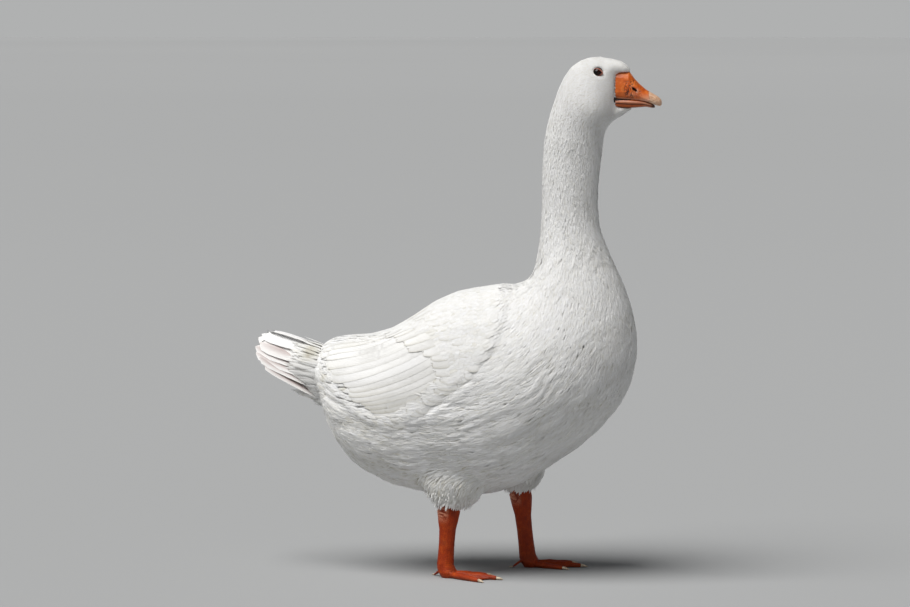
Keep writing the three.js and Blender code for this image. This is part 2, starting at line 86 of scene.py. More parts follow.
bpy.ops.object.select_all(action="DESELECT")
bpy.ops.object.camera_add(
    location=(
        ZERO_X + math.sin(CAMERA_AZIMUTH) * CAMERA_DISTANCE,
        -math.cos(CAMERA_AZIMUTH) * CAMERA_DISTANCE,
        CAMERA_HEIGHT,
    ),
    rotation=(math.pi / 2 - CAMERA_PITCH, 0, CAMERA_AZIMUTH),
)
camera = bpy.context.object
camera.data.sensor_width = SENSOR
camera.data.lens = FOCAL_PIXELS / FRAME_PIXELS * SENSOR
camera.data.clip_end = FAR_CLIP
bpy.context.scene.camera = camera
print("lens", round(camera.data.lens), "mm")

# %% [markdown]
# ## Colours and node helpers
# Colours are written as sRGB hex values, as a paint program shows them, and one function turns them to
# the linear numbers that a shader wants. One more function adds a node, sets it and links it. Down, horn
# and the mouth's lining are all grainy in the same way, so they share one more.

# %% Helpers for materials
def linear(hex_colour):
    """An sRGB hex colour as linear red, green, blue and alpha."""
    channels = [int(hex_colour[i : i + 2], 16) / 255 for i in (1, 3, 5)]
    return [c / 12.92 if c < 0.04045 else ((c + 0.055) / 1.055) ** 2.4 for c in channels] + [1]


def set_inputs(tree, node, **inputs):
    """Sets inputs of a node. Each value is a number, a colour or a socket to link. The name Base_Color
    stands for the input Base Color, and i0 or i6 for an input by its number."""
    for name, value in inputs.items():
        by_number = name[0] == "i" and name[1:].isdigit()
        socket = node.inputs[int(name[1:]) if by_number else name.replace("_", " ")]
        if isinstance(value, bpy.types.NodeSocket):
            tree.links.new(value, socket)
        else:
            socket.default_value = value


def add_node(tree, kind, settings=None, stops=None, **inputs):
    """Adds a node with its settings and links. A setting is a property of the node, and stops are the
    (position, hex colour) pairs of a colour ramp."""
    node = tree.nodes.new("ShaderNode" + kind)
    if stops:
        while len(node.color_ramp.elements) < len(stops):
            node.color_ramp.elements.new(1)
        for element, (position, colour) in zip(node.color_ramp.elements, stops):
            element.position = position
            element.color = linear(colour)
    for name, value in (settings or {}).items():
        setattr(node, name, value)
    set_inputs(tree, node, **inputs)
    return node


def new_material(name):
    """An empty material: its node tree and its Principled shader."""
    material = bpy.data.materials.new(name)
    material.use_nodes = True
    return material, material.node_tree, material.node_tree.nodes["Principled BSDF"]


# %% A grainy material
def grainy_material(name, scale, detail, stops, strength, relief, **finish):
    """A material whose colour and bump follow the same noise, which is fixed to the object. The bump
    stands relief metres high."""
    material, tree, shader = new_material(name)
    where = add_node(tree, "TexCoord")
    grain = add_node(tree, "TexNoise", Vector=where.outputs["Object"], Scale=scale, Detail=detail)
    colour = add_node(tree, "ValToRGB", i0=grain.outputs[0], stops=stops)
    bump = add_node(tree, "Bump", i0=strength, i1=relief, Height=grain.outputs[0])
    set_inputs(tree, shader, Base_Color=colour.outputs[0], Normal=bump.outputs[0], **finish)
    return material


# %% [markdown]
# ## Floor and light
# A studio sweep: a pale grey floor out to the horizon, soft walls all round, and one very broad light
# from above. A near lamp would leave the far floor dark, so a sun with a wide disc is used: its shadows
# are as soft as those of a large softbox. Low down the walls have the brightness of the lit floor, which
# hides the horizon, and higher up they are dimmer, so that the underside of the bird falls into soft
# shade. The Standard view keeps the orange and the whites as a plain camera sees them.

# %% Floor and light
FLOOR_SIZE = 400  # m
WALL_STOPS = [(0.12, "#B0B1B1"), (0.45, "#4C4E50")]  # near the floor, and high up
bpy.ops.object.select_all(action="DESELECT")
bpy.ops.mesh.primitive_plane_add(size=FLOOR_SIZE)
floor = bpy.context.object
floor.name = "floor"
# Uncoated studio paper. It has no gloss and only the faintest mottling, so the eye stays on the bird.
paper, tree, shader = new_material("matt_studio_paper")
grain = add_node(tree, "TexNoise", Scale=6.0, Detail=4.0)
greys = add_node(tree, "ValToRGB", i0=grain.outputs[0], stops=[(0.3, "#9C9D9E"), (0.7, "#A0A1A2")])
set_inputs(tree, shader, Base_Color=greys.outputs[0], Roughness=0.95, Specular_IOR_Level=0.1)
floor.data.materials.append(paper)

world = bpy.data.worlds.new("soft_sky")
bpy.context.scene.world = world
world.use_nodes = True
upward = add_node(world.node_tree, "TexCoord")
height = add_node(world.node_tree, "SeparateXYZ", Vector=upward.outputs["Generated"])
walls = add_node(world.node_tree, "ValToRGB", i0=height.outputs[2], stops=WALL_STOPS)
world.node_tree.links.new(walls.outputs[0], world.node_tree.nodes["Background"].inputs["Color"])
bpy.context.scene.view_settings.view_transform = "Standard"


def soft_sun(name, direction, strength, spread, colour):
    """A sun that shines along a direction, with a disc this many degrees wide."""
    bpy.ops.object.light_add(type="SUN", location=(0, 0, 3))
    light = bpy.context.object
    light.name = name
    light.data.energy = strength
    light.data.angle = math.radians(spread)
    light.data.color = linear(colour)[:3]
    light.rotation_euler = Vector(direction).to_track_quat("-Z", "Y").to_euler()


soft_sun("high_softbox", direction=(0.34, 0.42, -1.0), strength=4.1, spread=44, colour="#FFFEFC")
print("floor, walls and one light")

# %% [markdown]
# ## Small tools for modelling
# These keep the selection clean, apply modifiers as they are added, and read or write a mesh as arrays.

# %% Modelling tools
def only(obj):
    """Makes obj the one selected and active object."""
    bpy.ops.object.select_all(action="DESELECT")
    obj.select_set(True)
    bpy.context.view_layer.objects.active = obj


def modify(obj, kind, **settings):
    """Adds a modifier with these settings and applies it."""
    only(obj)
    bpy.ops.object.modifier_add(type=kind)
    modifier = obj.modifiers[-1]
    for name, value in settings.items():
        setattr(modifier, name, value)
    bpy.ops.object.modifier_apply(modifier=modifier.name)


def copy_of_nodes(names, new_name, fatten=0.0):
    """The named CAD nodes as one new mesh object. Each copy's doubles are merged and it may be fattened."""
    bpy.ops.object.select_all(action="DESELECT")
    for name in names:
        copy = bpy.data.objects.new(name + "_copy", NODES[name].data.copy())
        bpy.context.scene.collection.objects.link(copy)
        copy.select_set(True)
        bpy.context.view_layer.objects.active = copy
    bpy.ops.object.join()
    made = bpy.context.object
    made.name = new_name
    made.data.materials.clear()
    bpy.ops.object.mode_set(mode="EDIT")
    bpy.ops.mesh.select_all(action="SELECT")
    bpy.ops.mesh.remove_doubles(threshold=1e-5)
    if fatten:
        bpy.ops.transform.shrink_fatten(value=fatten)
    bpy.ops.object.mode_set(mode="OBJECT")
    return made


# %% Meshes as arrays
def read_points(mesh, what="vertices", field="co"):
    """The places of a mesh's vertices, or another field of three numbers, as an array."""
    values = np.empty(len(getattr(mesh, what)) * 3, dtype=np.float32)
    getattr(mesh, what).foreach_get(field, values)
    return values.reshape(-1, 3).astype(float)


def write_points(mesh, points):
    """Moves a mesh's vertices to these places."""
    mesh.vertices.foreach_set("co", np.asarray(points, dtype=np.float32).ravel())
    mesh.update()


def own_millimetres(points):
    """Points of the frame in the goose's own millimetres."""
    return (points - (ZERO_X, 0, 0)) / MM


def unit(vectors):
    """The vectors with their length made 1."""
    return vectors / np.maximum(np.linalg.norm(vectors, axis=-1, keepdims=True), 1e-9)


def add_group(obj, name, shares):
    """A vertex group that holds each vertex by its share, from 0 to 1."""
    group = obj.vertex_groups.new(name=name)
    for index, share in enumerate(shares.tolist()):
        group.add([index], share, "REPLACE")


# %% [markdown]
# ## The skin
# One closed skin stands for all the feathered flesh. It could be modelled afresh, but the solids are
# already right, so copies of them are fattened a hair to close the thin cuts between them, joined by a
# voxel remesh and smoothed. The tail's long feathers are cut off first, because only its fleshy root has
# skin. The body is smoothed more than the head, and the face most of all where it is flat, between the
# eye and the bill.

# %% Skin: one mesh from the solids
SKIN_VOXEL = 3.0 * MM
JAW_HEIGHT = 730  # mm; above this the head keeps its finer shape
CHEEK = 252  # mm; the middle of the flat stretch between the eye and the bill
BROW_HEIGHT = 790  # mm; over this the smoothing stops short, so that the forehead still rises from the bill
FOREHEAD_FRONT = 268  # mm
TAIL_FLESH_END = ZERO_X - 244 * MM
FLESH = ["head", "neck_upper", "neck_lower", "trunk", "wing_left", "wing_right"]
FLESH += ["thigh_left", "thigh_right"]

tail_root = copy_of_nodes(["tail"], "tail_root")
bpy.ops.object.mode_set(mode="EDIT")
bpy.ops.mesh.select_all(action="SELECT")
bpy.ops.mesh.bisect(
    plane_co=(TAIL_FLESH_END, 0, 0), plane_no=(1, 0, 0), clear_inner=True, use_fill=True
)
bpy.ops.object.mode_set(mode="OBJECT")

skin = copy_of_nodes(FLESH, "skin", fatten=0.5 * MM)
tail_root.select_set(True)
bpy.ops.object.join()
modify(skin, "REMESH", mode="VOXEL", voxel_size=SKIN_VOXEL)
modify(skin, "SMOOTH", factor=0.5, iterations=3)
heights = read_points(skin.data)[:, 2] / MM
add_group(skin, "below_head", np.clip((JAW_HEIGHT - heights) / 60, 0, 1))
modify(skin, "SMOOTH", factor=0.6, iterations=14, vertex_group="below_head")
ahead, _, heights = own_millimetres(read_points(skin.data)).T
flat = np.clip(1.6 - np.abs(ahead - CHEEK) / 11, 0, 1)
flat *= np.clip(np.maximum((FOREHEAD_FRONT - ahead) / 6, BROW_HEIGHT - heights), 0, 1)
add_group(skin, "face", flat)
modify(skin, "SMOOTH", factor=0.5, iterations=40, vertex_group="face")
print("skin:", len(skin.data.vertices), "vertices before it is drawn in")

# %% [markdown]
# ## The lie of the coat
# Feathers point away from the bill: back over the crown, down the neck and the breast, and back along the
# flanks to the tail. One smooth line through the middle of the bird carries that direction. Every place
# on the skin takes its direction from the nearest stretch of the line, and its way along the line sets
# how long, wide and dense the feathers are. Painting this by hand would be slow and would not be even.

# %% The line through the bird
MIDLINE = [(281, 770), (240, 768), (205, 758), (194, 700), (188, 620), (195, 540), (205, 450), (180, 360)]
MIDLINE += [(100, 300), (0, 290), (-120, 292), (-215, 322), (-300, 352)]
LINE_STEP = 6  # mm
LINE_SMOOTHING = 40  # times that the line's corners are rounded
AT_ONCE = 20000  # points that are handled together, to spare memory
corner_points = np.array(MIDLINE, float)
corner_ways = np.append(0, np.cumsum(np.linalg.norm(np.diff(corner_points, axis=0), axis=1)))
ways = np.arange(0, corner_ways[-1], LINE_STEP)
line = np.stack([np.interp(ways, corner_ways, corner_points[:, i]) for i in (0, 1)], axis=1)
for _ in range(LINE_SMOOTHING):
    line[1:-1] = (line[:-2] + line[1:-1] * 2 + line[2:]) / 4
LINE = np.stack([ZERO_X + line[:, 0] * MM, line[:, 1] * MM], axis=1)
LINE_RUN = unit(np.gradient(LINE, axis=0))
LINE_WAY = np.append(0, np.cumsum(np.linalg.norm(np.diff(line, axis=0), axis=1)))


def along_the_bird(points):
    """Each point's way along the line in mm, its angle round it from the back, and the coat's direction."""
    way = np.empty(len(points))
    angle = np.empty(len(points))
    run = np.zeros((len(points), 3))
    for start in range(0, len(points), AT_ONCE):
        some = slice(start, start + AT_ONCE)
        part = points[some]
        apart = (part[:, None, ::2] - LINE) ** 2
        pull = 1 / (apart.sum(2) + part[:, 1:2] ** 2 + 1e-6) ** 4
        pull /= pull.sum(1, keepdims=True)
        way[some] = pull @ LINE_WAY
        run[some, ::2] = unit(pull @ LINE_RUN)
        offset = part[:, ::2] - pull @ LINE
        backwards = offset[:, 0] * run[some, 2] - offset[:, 1] * run[some, 0]
        angle[some] = np.arctan2(part[:, 1], backwards)
    return way, angle, run


print("from bill to tail:", round(LINE_WAY[-1]), "mm")

# %% [markdown]
# ## Drawing the skin in
# The solids reach out to the feather tips, so the skin lies inside them by the depth of the coat: a
# hair's breadth at the bill, a few millimetres on the neck and about a centimetre on the breast. A
# Displace modifier with a vertex group moves each place by its own depth. The group is blurred over the
# mesh first, so that no step shows where a wing or a thigh begins.

# %% Regions of the skin
REGION_REACH = 2.0 * MM


def triangles_of(mesh):
    """The corners of a mesh's triangles, as an array."""
    mesh.calc_loop_triangles()
    corners = np.empty(len(mesh.loop_triangles) * 3, dtype=np.int32)
    mesh.loop_triangles.foreach_get("vertices", corners)
    return corners.reshape(-1, 3)


def near_nodes(points, names, reach):
    """1 for each point that lies within reach of one of these solids, and 0 for the others."""
    near = np.zeros(len(points))
    for name in names:
        mesh = NODES[name].data
        tree = BVHTree.FromPolygons(read_points(mesh).tolist(), triangles_of(mesh).tolist())
        near = np.maximum(near, [tree.find_nearest(p, reach)[0] is not None for p in points.tolist()])
    return near


def blurred(values, mesh, times):
    """Values on the vertices of a mesh, averaged over their neighbours again and again."""
    edges = np.empty(len(mesh.edges) * 2, dtype=np.int32)
    mesh.edges.foreach_get("vertices", edges)
    a, b = edges.reshape(-1, 2).T
    count = len(values)
    degree = np.bincount(a, minlength=count) + np.bincount(b, minlength=count)
    for _ in range(times):
        total = np.bincount(a, values[b], count) + np.bincount(b, values[a], count)
        values = (values + total / np.maximum(degree, 1)) / 2
    return values


points = read_points(skin.data)
way, angle, run = along_the_bird(points)
on_wing = near_nodes(points, ["wing_left", "wing_right"], REGION_REACH)
on_thigh = near_nodes(points, ["thigh_left", "thigh_right"], REGION_REACH)
on_tail = near_nodes(points, ["tail"], REGION_REACH)
print("on the wings:", int(on_wing.sum()), "of", len(points), "vertices")

# %% Depth of the coat
# How deep the coat is, in mm, at ways along the bird in mm, and over the wings, the thighs and the tail.
DEPTH_WAYS = [14, 30, 60, 100, 140, 220, 300, 400, 480, 900, 990]
DEPTHS = [0.3, 0.6, 1.0, 1.4, 2.0, 2.8, 3.4, 4.6, 5.8, 5.8, 5.0]
depth = np.interp(way, DEPTH_WAYS, DEPTHS)
for on_region, region_depth in ((on_wing, 8.5), (on_thigh, 5.0), (on_tail, 5.5)):
    depth = depth + on_region * (region_depth - depth)
depth = blurred(depth, skin.data, 30)
DEEPEST = 10
add_group(skin, "coat_depth", depth / DEEPEST)
modify(skin, "DISPLACE", direction="NORMAL", mid_level=0, strength=-DEEPEST * MM, vertex_group="coat_depth")
modify(skin, "SMOOTH", factor=0.5, iterations=6)
thigh_edge = blurred(on_thigh, skin.data, 30)
crease_share = 4 * thigh_edge * (1 - thigh_edge)
add_group(skin, "thigh_crease", np.where(crease_share > 0.05, crease_share, 0))
modify(skin, "SMOOTH", factor=0.5, iterations=60, vertex_group="thigh_crease")
modify(skin, "TRIANGULATE")
only(skin)
bpy.ops.object.shade_smooth()
skin.vertex_groups.clear()
print("coat", round(depth.min(), 1), "to", round(depth.max(), 1), "mm deep")

# %% [markdown]
# ## The skin as arrays
# Tens of thousands of feathers need the skin's places, normals and regions at once, so they are read into
# arrays, with a tree that finds the nearest place on the skin for any point.

# %% Skin arrays
skin_points = read_points(skin.data)
skin_normals = read_points(skin.data, "vertices", "normal")
skin_faces = triangles_of(skin.data)
skin_tree = BVHTree.FromPolygons(skin_points.tolist(), skin_faces.tolist())
way, angle, run = along_the_bird(skin_points)

THIGH_RUN = unit(np.array([-0.28, 0, -1.0]))
wing_soft = blurred(on_wing, skin.data, 12)
thigh_soft = blurred(on_thigh, skin.data, 45)
run = unit(run * (1 - thigh_soft[:, None]) + THIGH_RUN * thigh_soft[:, None])
# The bird's radius in mm along the line turns an angle round it into a way round it.
RADIUS_WAYS = [0, 100, 140, 300, 400, 500, 850, 990]
RADII = [20, 34, 26, 34, 60, 110, 110, 50]
round_way = np.abs(angle) * np.interp(way, RADIUS_WAYS, RADII)
wing_wide = blurred(on_wing, skin.data, 170)
low_edge = np.clip((360 * MM - skin_points[:, 2]) / (50 * MM), 0, 1)
hind_edge = np.clip((ZERO_X - 60 * MM - skin_points[:, 0]) / (60 * MM), 0, 1)
# The side feathers pillow up over the wing's lower edge, and less so towards the tail.
pillow = np.sin(math.pi * np.clip(wing_wide / 0.62, 0, 1)) ** 2 * low_edge * (1 - 0.55 * hind_edge)
SKIN_FIELDS = np.column_stack(
    [way, round_way, angle, wing_soft, thigh_soft, wing_wide, depth, pillow, run]
)
# The columns of that table, by name. RUN is the coat's direction.
WAY, ROUND, ANGLE, WING, THIGH, WIDE, DEPTH, PILLOW = range(8)
RUN = slice(8, 11)


def settle(points):
    """The nearest place on the skin for each point, its smooth normal, and the skin's fields there."""
    hits = [skin_tree.find_nearest(p) for p in points.tolist()]
    places = np.array([hit[0] for hit in hits])
    corners = skin_faces[[hit[2] for hit in hits]]
    apart = np.linalg.norm(skin_points[corners] - places[:, None], axis=2)
    share = 1 / (apart + 1e-5)
    share /= share.sum(1, keepdims=True)
    normals = unit((skin_normals[corners] * share[..., None]).sum(1))
    return places, normals, (SKIN_FIELDS[corners] * share[..., None]).sum(1)


print("skin:", len(skin_points), "vertices and", len(skin_faces), "triangles")

# %% [markdown]
# ## Noise for furrows and lumps
# A goose's breast and neck are furrowed: the feathers clump into narrow ridges that run with the coat.
# The ridges are half even waves and half smooth noise, bent and broken so that they fork and fade, and
# the soft lumps of the flank come from a wider noise. One small lattice of seeded numbers makes them all,
# the same at each run.

# %% Noise
LATTICE = np.random.default_rng(11).uniform(-1, 1, (32, 32, 32))


def noise(x, y, z):
    """Smooth noise between -1 and 1 at places given in lattice steps."""
    cells = [np.floor(v).astype(int) for v in (x, y, z)]
    parts = [v - c for v, c in zip((x, y, z), cells)]
    parts = [p * p * (3 - 2 * p) for p in parts]
    total = 0
    for corner in np.ndindex(2, 2, 2):
        weight = 1
        for p, side in zip(parts, corner):
            weight = weight * (p if side else 1 - p)
        index = tuple((c + side) % 32 for c, side in zip(cells, corner))
        total = total + weight * LATTICE[index]
    return total


# %% Furrows and lumps
FURROW_WIDE = 10.5  # mm from one ridge to the next on the breast
LUMP_LONG = 44  # mm
LUMP_WIDE = 29  # mm
# Depths in mm, at ways along the bird in mm.
FURROW_WAYS = [0, 110, 150, 300, 400, 480, 620, 740, 900, 990]
FURROW_DEPTHS = [0.0, 0.1, 0.25, 0.4, 0.55, 0.85, 1.1, 0.85, 0.75, 0.6]
LUMP_WAYS = [0, 420, 560, 640, 740, 900, 990]
LUMP_DEPTHS = [0.0, 0.2, 0.8, 1.9, 3.0, 2.8, 1.2]
PILLOW_HEIGHT = 3.2  # mm


def relief(way, round_way, y, wing, pillow):
    """How far the coat stands over its mean surface, in mm: long ridges, soft lumps and the pillow of
    side feathers that lies over the wing's lower edge."""
    sway = 13 * noise(way / 95 + 3, round_way / 50, y / (90 * MM))
    sway = sway + 5 * noise(way / 38, round_way / 21 + 7, y * 0)
    wide = FURROW_WIDE * np.interp(way, [120, 200, 420, 520], [0.45, 0.6, 0.85, 1.0])
    even = 1.35 * np.abs(np.sin(math.pi * (round_way + sway) / wide)) ** 0.8 - 0.95
    uneven = np.abs(noise(way / 36 + 5, (round_way + sway) / (0.85 * wide), y / (60 * MM)))
    uneven = np.minimum(2.6 * uneven**0.7, 1.5) - 1
    fading = 0.75 + 0.8 * noise(way / 26 + 11, round_way / 22, y / (60 * MM))
    ridges = (0.4 * even + 0.8 * uneven) * fading
    lumps = noise(way / LUMP_LONG, round_way / LUMP_WIDE + 9, y / (90 * MM) + 5)
    lumps = np.minimum(2.4 * np.abs(lumps) ** 0.8, 1.3) - 1
    on_body = np.interp(way, [340, 440], [0, 1])
    under_back = 1 - on_body * (1 - np.interp(round_way, [115, 205, 300], [0.22, 1, 1.8]))
    made = np.interp(way, FURROW_WAYS, FURROW_DEPTHS) * under_back * (ridges - 0.2)
    lump_depth = np.interp(way, LUMP_WAYS, LUMP_DEPTHS) * np.interp(round_way, [110, 170], [0.1, 1])
    made = made + lump_depth * lumps
    return made * (1 - 0.94 * wing) + PILLOW_HEIGHT * pillow


print("furrows", FURROW_WIDE, "mm apart on the breast")

# %% [markdown]
# ## Where feathers grow
# Real feathers sit in even rows that nobody notices. Places are scattered on the skin at random and
# thinned until no two are closer than the spacing there, which gives an even cover without any grid.

# %% Scatter
TRIES = 4  # places tried for each one that would fill the spacing


def tree_of(points):
    """A tree that finds the nearest of these points, or all within a reach."""
    tree = KDTree(len(points))
    for index, point in enumerate(points):
        tree.insert(point, index)
    tree.balance()
    return tree


def scatter(spacing, seed):
    """Even, unordered places on the skin. The spacing is in mm for each skin vertex."""
    random = np.random.default_rng(seed)
    a, b, c = (skin_points[skin_faces[:, i]] for i in range(3))
    area = np.linalg.norm(np.cross(b - a, c - a), axis=1) / 2
    face_spacing = spacing[skin_faces].mean(1) * MM
    weight = area / face_spacing**2
    count = int(TRIES * weight.sum())
    picked = random.choice(len(skin_faces), count, p=weight / weight.sum())
    u, v = random.random((2, count))
    u, v = np.where(u + v > 1, 1 - u, u), np.where(u + v > 1, 1 - v, v)
    places = a[picked] + (b - a)[picked] * u[:, None] + (c - a)[picked] * v[:, None]
    tree = tree_of(places.tolist())
    free = bytearray(b"\x01") * count
    kept = []
    for index, (point, reach) in enumerate(zip(places.tolist(), face_spacing[picked].tolist())):
        if free[index]:
            kept.append(index)
            for _, other, _ in tree.find_range(point, reach):
                free[other] = 0
    return places[kept]


# %% [markdown]
# ## The feather
# Each feather is a closed blade as thin as a leaf: a few points across its arched top at each ring, one
# point under it, a point for its root and a blunt tip. All feathers of a kind are made together as one
# mesh from arrays, because tens of thousands of separate objects would be far too slow. The map OFBake
# gives each feather a tiny patch where its root lies on the unrolled skin, and the map vane runs across
# and along it in millimetres, for its barbs.

# %% How a feather lifts
RISE = 0.6  # the share of its length over which a feather rises from the skin


def lift_and_press(t, top, quick=1.0):
    """Height over the skin: the blade rises to the top, and its tip is pressed in among its neighbours."""
    risen = 1 - (1 - np.minimum(t * quick / RISE, 1)) ** 2
    return top * risen - (0.25 + 0.13 * top) * np.maximum(t - RISE, 0) ** 2 / 0.16


# %% The points and faces of a feather
def blade_points(centres, normals, half, height, across, looks):
    """Each feather's points: its root, and for each ring the points across its top and one under them."""
    count, rings = half.shape
    run_at = unit(np.gradient(centres, axis=1))
    side_at = unit(np.cross(run_at, normals))
    arch = looks.get("arch", 0.16) * half
    roll = np.broadcast_to(looks.get("roll", 0.0), (count,))[:, None, None]
    up = height[:, 1:, None] - arch[:, 1:, None] * across**2 + roll * across
    up = up + looks.get("extra", 0)
    back = np.zeros((count, rings - 1, len(across)))
    back[:, -1] = -looks.get("blunt", 0.8) * half[:, -1, None] * across**2
    back[:, -1] += looks.get("ragged", 0)
    top = centres[:, 1:, None] + side_at[:, 1:, None] * (half[:, 1:, None] * across)[..., None] * MM
    lifted = normals[:, 1:, None]
    if looks.get("draped"):
        places, place_normals, _ = settle(top.reshape(-1, 3))
        top, lifted = places.reshape(top.shape), place_normals.reshape(top.shape)
    top = top + lifted * up[..., None] * MM + run_at[:, 1:, None] * back[..., None] * MM
    depth_under = height[:, 1:] - looks.get("thick", 0.5) - arch[:, 1:] * 0.3
    under = centres[:, 1:] + normals[:, 1:] * depth_under[..., None] * MM
    root = centres[:, 0] + normals[:, 0] * height[:, 0, None] * MM
    ring_points = np.concatenate([top, under[:, :, None]], axis=2)
    return np.concatenate([root[:, None], ring_points.reshape(count, -1, 3)], axis=1)


def blade_faces(rings, wide):
    """The numbers of one feather's points, ring by ring, and its triangles."""
    ring_of = 1 + np.arange(rings - 1)[:, None] * (wide + 1) + np.arange(wide + 1)
    triangles = []
    for i in range(wide + 1):
        triangles.append((0, ring_of[0, (i + 1) % (wide + 1)], ring_of[0, i]))
    for k in range(rings - 2):
        for i in range(wide + 1):
            j = (i + 1) % (wide + 1)
            triangles.append((ring_of[k, i], ring_of[k, j], ring_of[k + 1, j]))
            triangles.append((ring_of[k, i], ring_of[k + 1, j], ring_of[k + 1, i]))
    for i in range(wide - 1):
        triangles.append((ring_of[-1, wide], ring_of[-1, i], ring_of[-1, i + 1]))
    return ring_of, np.array(triangles)


# %% The maps and edges of a feather
BAKE_PATCH = 0.003  # the side of each feather's patch in the map OFBake


def add_maps(mesh, faces, centres, half, across, each, looks):
    """The maps vane and OFBake, and the tint of each point."""
    count, rings = half.shape
    length = np.append(0, np.cumsum(np.linalg.norm(np.diff(centres[0], axis=0), axis=1))) / MM
    under = np.zeros((count, rings - 1, 1))
    vane = np.zeros((count, each, 2))
    vane[:, 1:, 0] = np.concatenate([half[:, 1:, None] * across, under], axis=2).reshape(count, -1)
    vane[:, 1:, 1] = np.repeat(length[1:], len(across) + 1)
    share = np.stack([vane[..., 0] / (2 * half.max()), vane[..., 1] / length[-1] - 0.5], axis=2)
    bake = looks["unrolled"][:, None] + share * BAKE_PATCH
    for map_name, values in (("OFBake", bake), ("vane", vane)):
        layer = mesh.uv_layers.new(name=map_name)
        corner_values = values.reshape(-1, 2)[faces.ravel()]
        layer.uv.foreach_set("vector", corner_values.astype(np.float32).ravel())
    tint = mesh.attributes.new("tint", "FLOAT", "POINT")
    tints = np.repeat(looks["tint"][:, None], each, axis=1)
    if "edge" in looks:
        tints[:, 1:] += looks["edge"].reshape(count, -1)
    tint.data.foreach_set("value", tints.astype(np.float32).ravel())


def sharpen_rims(mesh, ring_of, each):
    """Marks the edges round each blade as sharp, so that its top is shaded apart from its underside."""
    rim = np.zeros(each, bool)
    for numbers in (0, ring_of[:, 0], ring_of[:, -2], ring_of[-1, :-1]):
        rim[numbers] = True
    edges = np.empty(len(mesh.edges) * 2, dtype=np.int32)
    mesh.edges.foreach_get("vertices", edges)
    on_rim = rim[edges % each].reshape(-1, 2).all(1)
    sharp = mesh.attributes.new("sharp_edge", "BOOLEAN", "EDGE")
    sharp.data.foreach_set("value", on_rim)


# %% Feather meshes
def make_feathers(name, centres, normals, half, height, across, material, looks):
    """One mesh of closed blades. centres and normals are (feather, ring, 3), half widths and heights
    over the skin are (feather, ring) in mm, and the first ring is the root point. looks holds:
    tint and unrolled, each feather's shade and its root's place on the unrolled skin;
    arch, thick, roll and blunt, the shape of its section and its tip;
    ragged, extra and edge, mm added to its tip, mm of height and a darker tint, point by point;
    draped, when each point across has to follow the skin by itself, as on the broad wing feathers."""
    across = np.array(across, float)
    points = blade_points(centres, normals, half, height, across, looks)
    ring_of, one = blade_faces(half.shape[1], len(across))
    count, each = points.shape[:2]
    faces = (one + np.arange(count)[:, None, None] * each).reshape(-1, 3)

    mesh = bpy.data.meshes.new(name)
    mesh.vertices.add(count * each)
    mesh.vertices.foreach_set("co", points.astype(np.float32).ravel())
    mesh.loops.add(faces.size)
    mesh.loops.foreach_set("vertex_index", faces.astype(np.int32).ravel())
    mesh.polygons.add(len(faces))
    mesh.polygons.foreach_set("loop_start", np.arange(0, faces.size, 3, dtype=np.int32))
    mesh.update(calc_edges=True)
    add_maps(mesh, faces, centres, half, across, each, looks)
    sharpen_rims(mesh, ring_of, each)
    mesh.polygons.foreach_set("use_smooth", np.ones(len(faces), bool))
    mesh.materials.append(material)
    made = bpy.data.objects.new(name, mesh)
    bpy.context.scene.collection.objects.link(made)
    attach(made, BODY)
    print(f"{name}: {count} feathers, {len(faces)} triangles")
    return made


def unrolled(fields):
    """A place on the unrolled skin, between 0 and 1 both ways, for the map OFBake."""
    along = fields[:, WAY] / LINE_WAY[-1]
    around = fields[:, ANGLE] / (2 * math.pi) + 0.5
    return np.stack([0.01 + 0.98 * along, 0.01 + 0.98 * around], axis=1)


# %% [markdown]
# ## Plumage
# White feathers are keratin full of tiny air spaces, so they are matt and bright, with a faint soft sheen
# at grazing angles and never a hard gloss. Barbs run out from the shaft at a slant: real ones are about
# 0.3 mm apart, which no picture of a whole goose can show, so they are drawn coarser. A farm goose is
# never snow white: single feathers are a little creamier than their neighbours, and the belly is dustier.
# The troughs of the furrows are painted darker, as shade.

# %% Plumage material
BARB_SPACING = 1.1  # mm; real barbs are three times as fine
# The ramp runs from white to a greyish tan. Its darker end gives the stains, and the painted shade in the
# furrows and along the rims.
PLUMAGE_STOPS = [(0.1, "#F3F3F4"), (0.45, "#EDECE9"), (0.75, "#D9D6CB"), (1.0, "#B5AC9A")]
DOWN_STOPS = [(0.3, "#E4E0D8"), (0.7, "#F2F0EB")]


def barbs_on(tree, slant, spacing, strength, relief):
    """A bump of fine ridges that run out from the shaft at a slant, spacing mm apart and relief m high."""
    vane_map = add_node(tree, "UVMap", {"uv_map": "vane"})
    vane = add_node(tree, "SeparateXYZ", Vector=vane_map.outputs[0])
    aside = add_node(tree, "Math", {"operation": "ABSOLUTE"}, i0=vane.outputs[0])
    way = {"i0": aside.outputs[0], "i1": -slant, "i2": vane.outputs[1]}
    along = add_node(tree, "Math", {"operation": "MULTIPLY_ADD"}, **way)
    turn = add_node(tree, "Math", {"operation": "MULTIPLY"}, i0=along.outputs[0], i1=math.tau / spacing)
    barbs = add_node(tree, "Math", {"operation": "SINE"}, i0=turn.outputs[0])
    return add_node(tree, "Bump", i0=strength, i1=relief, Height=barbs.outputs[0]).outputs[0]


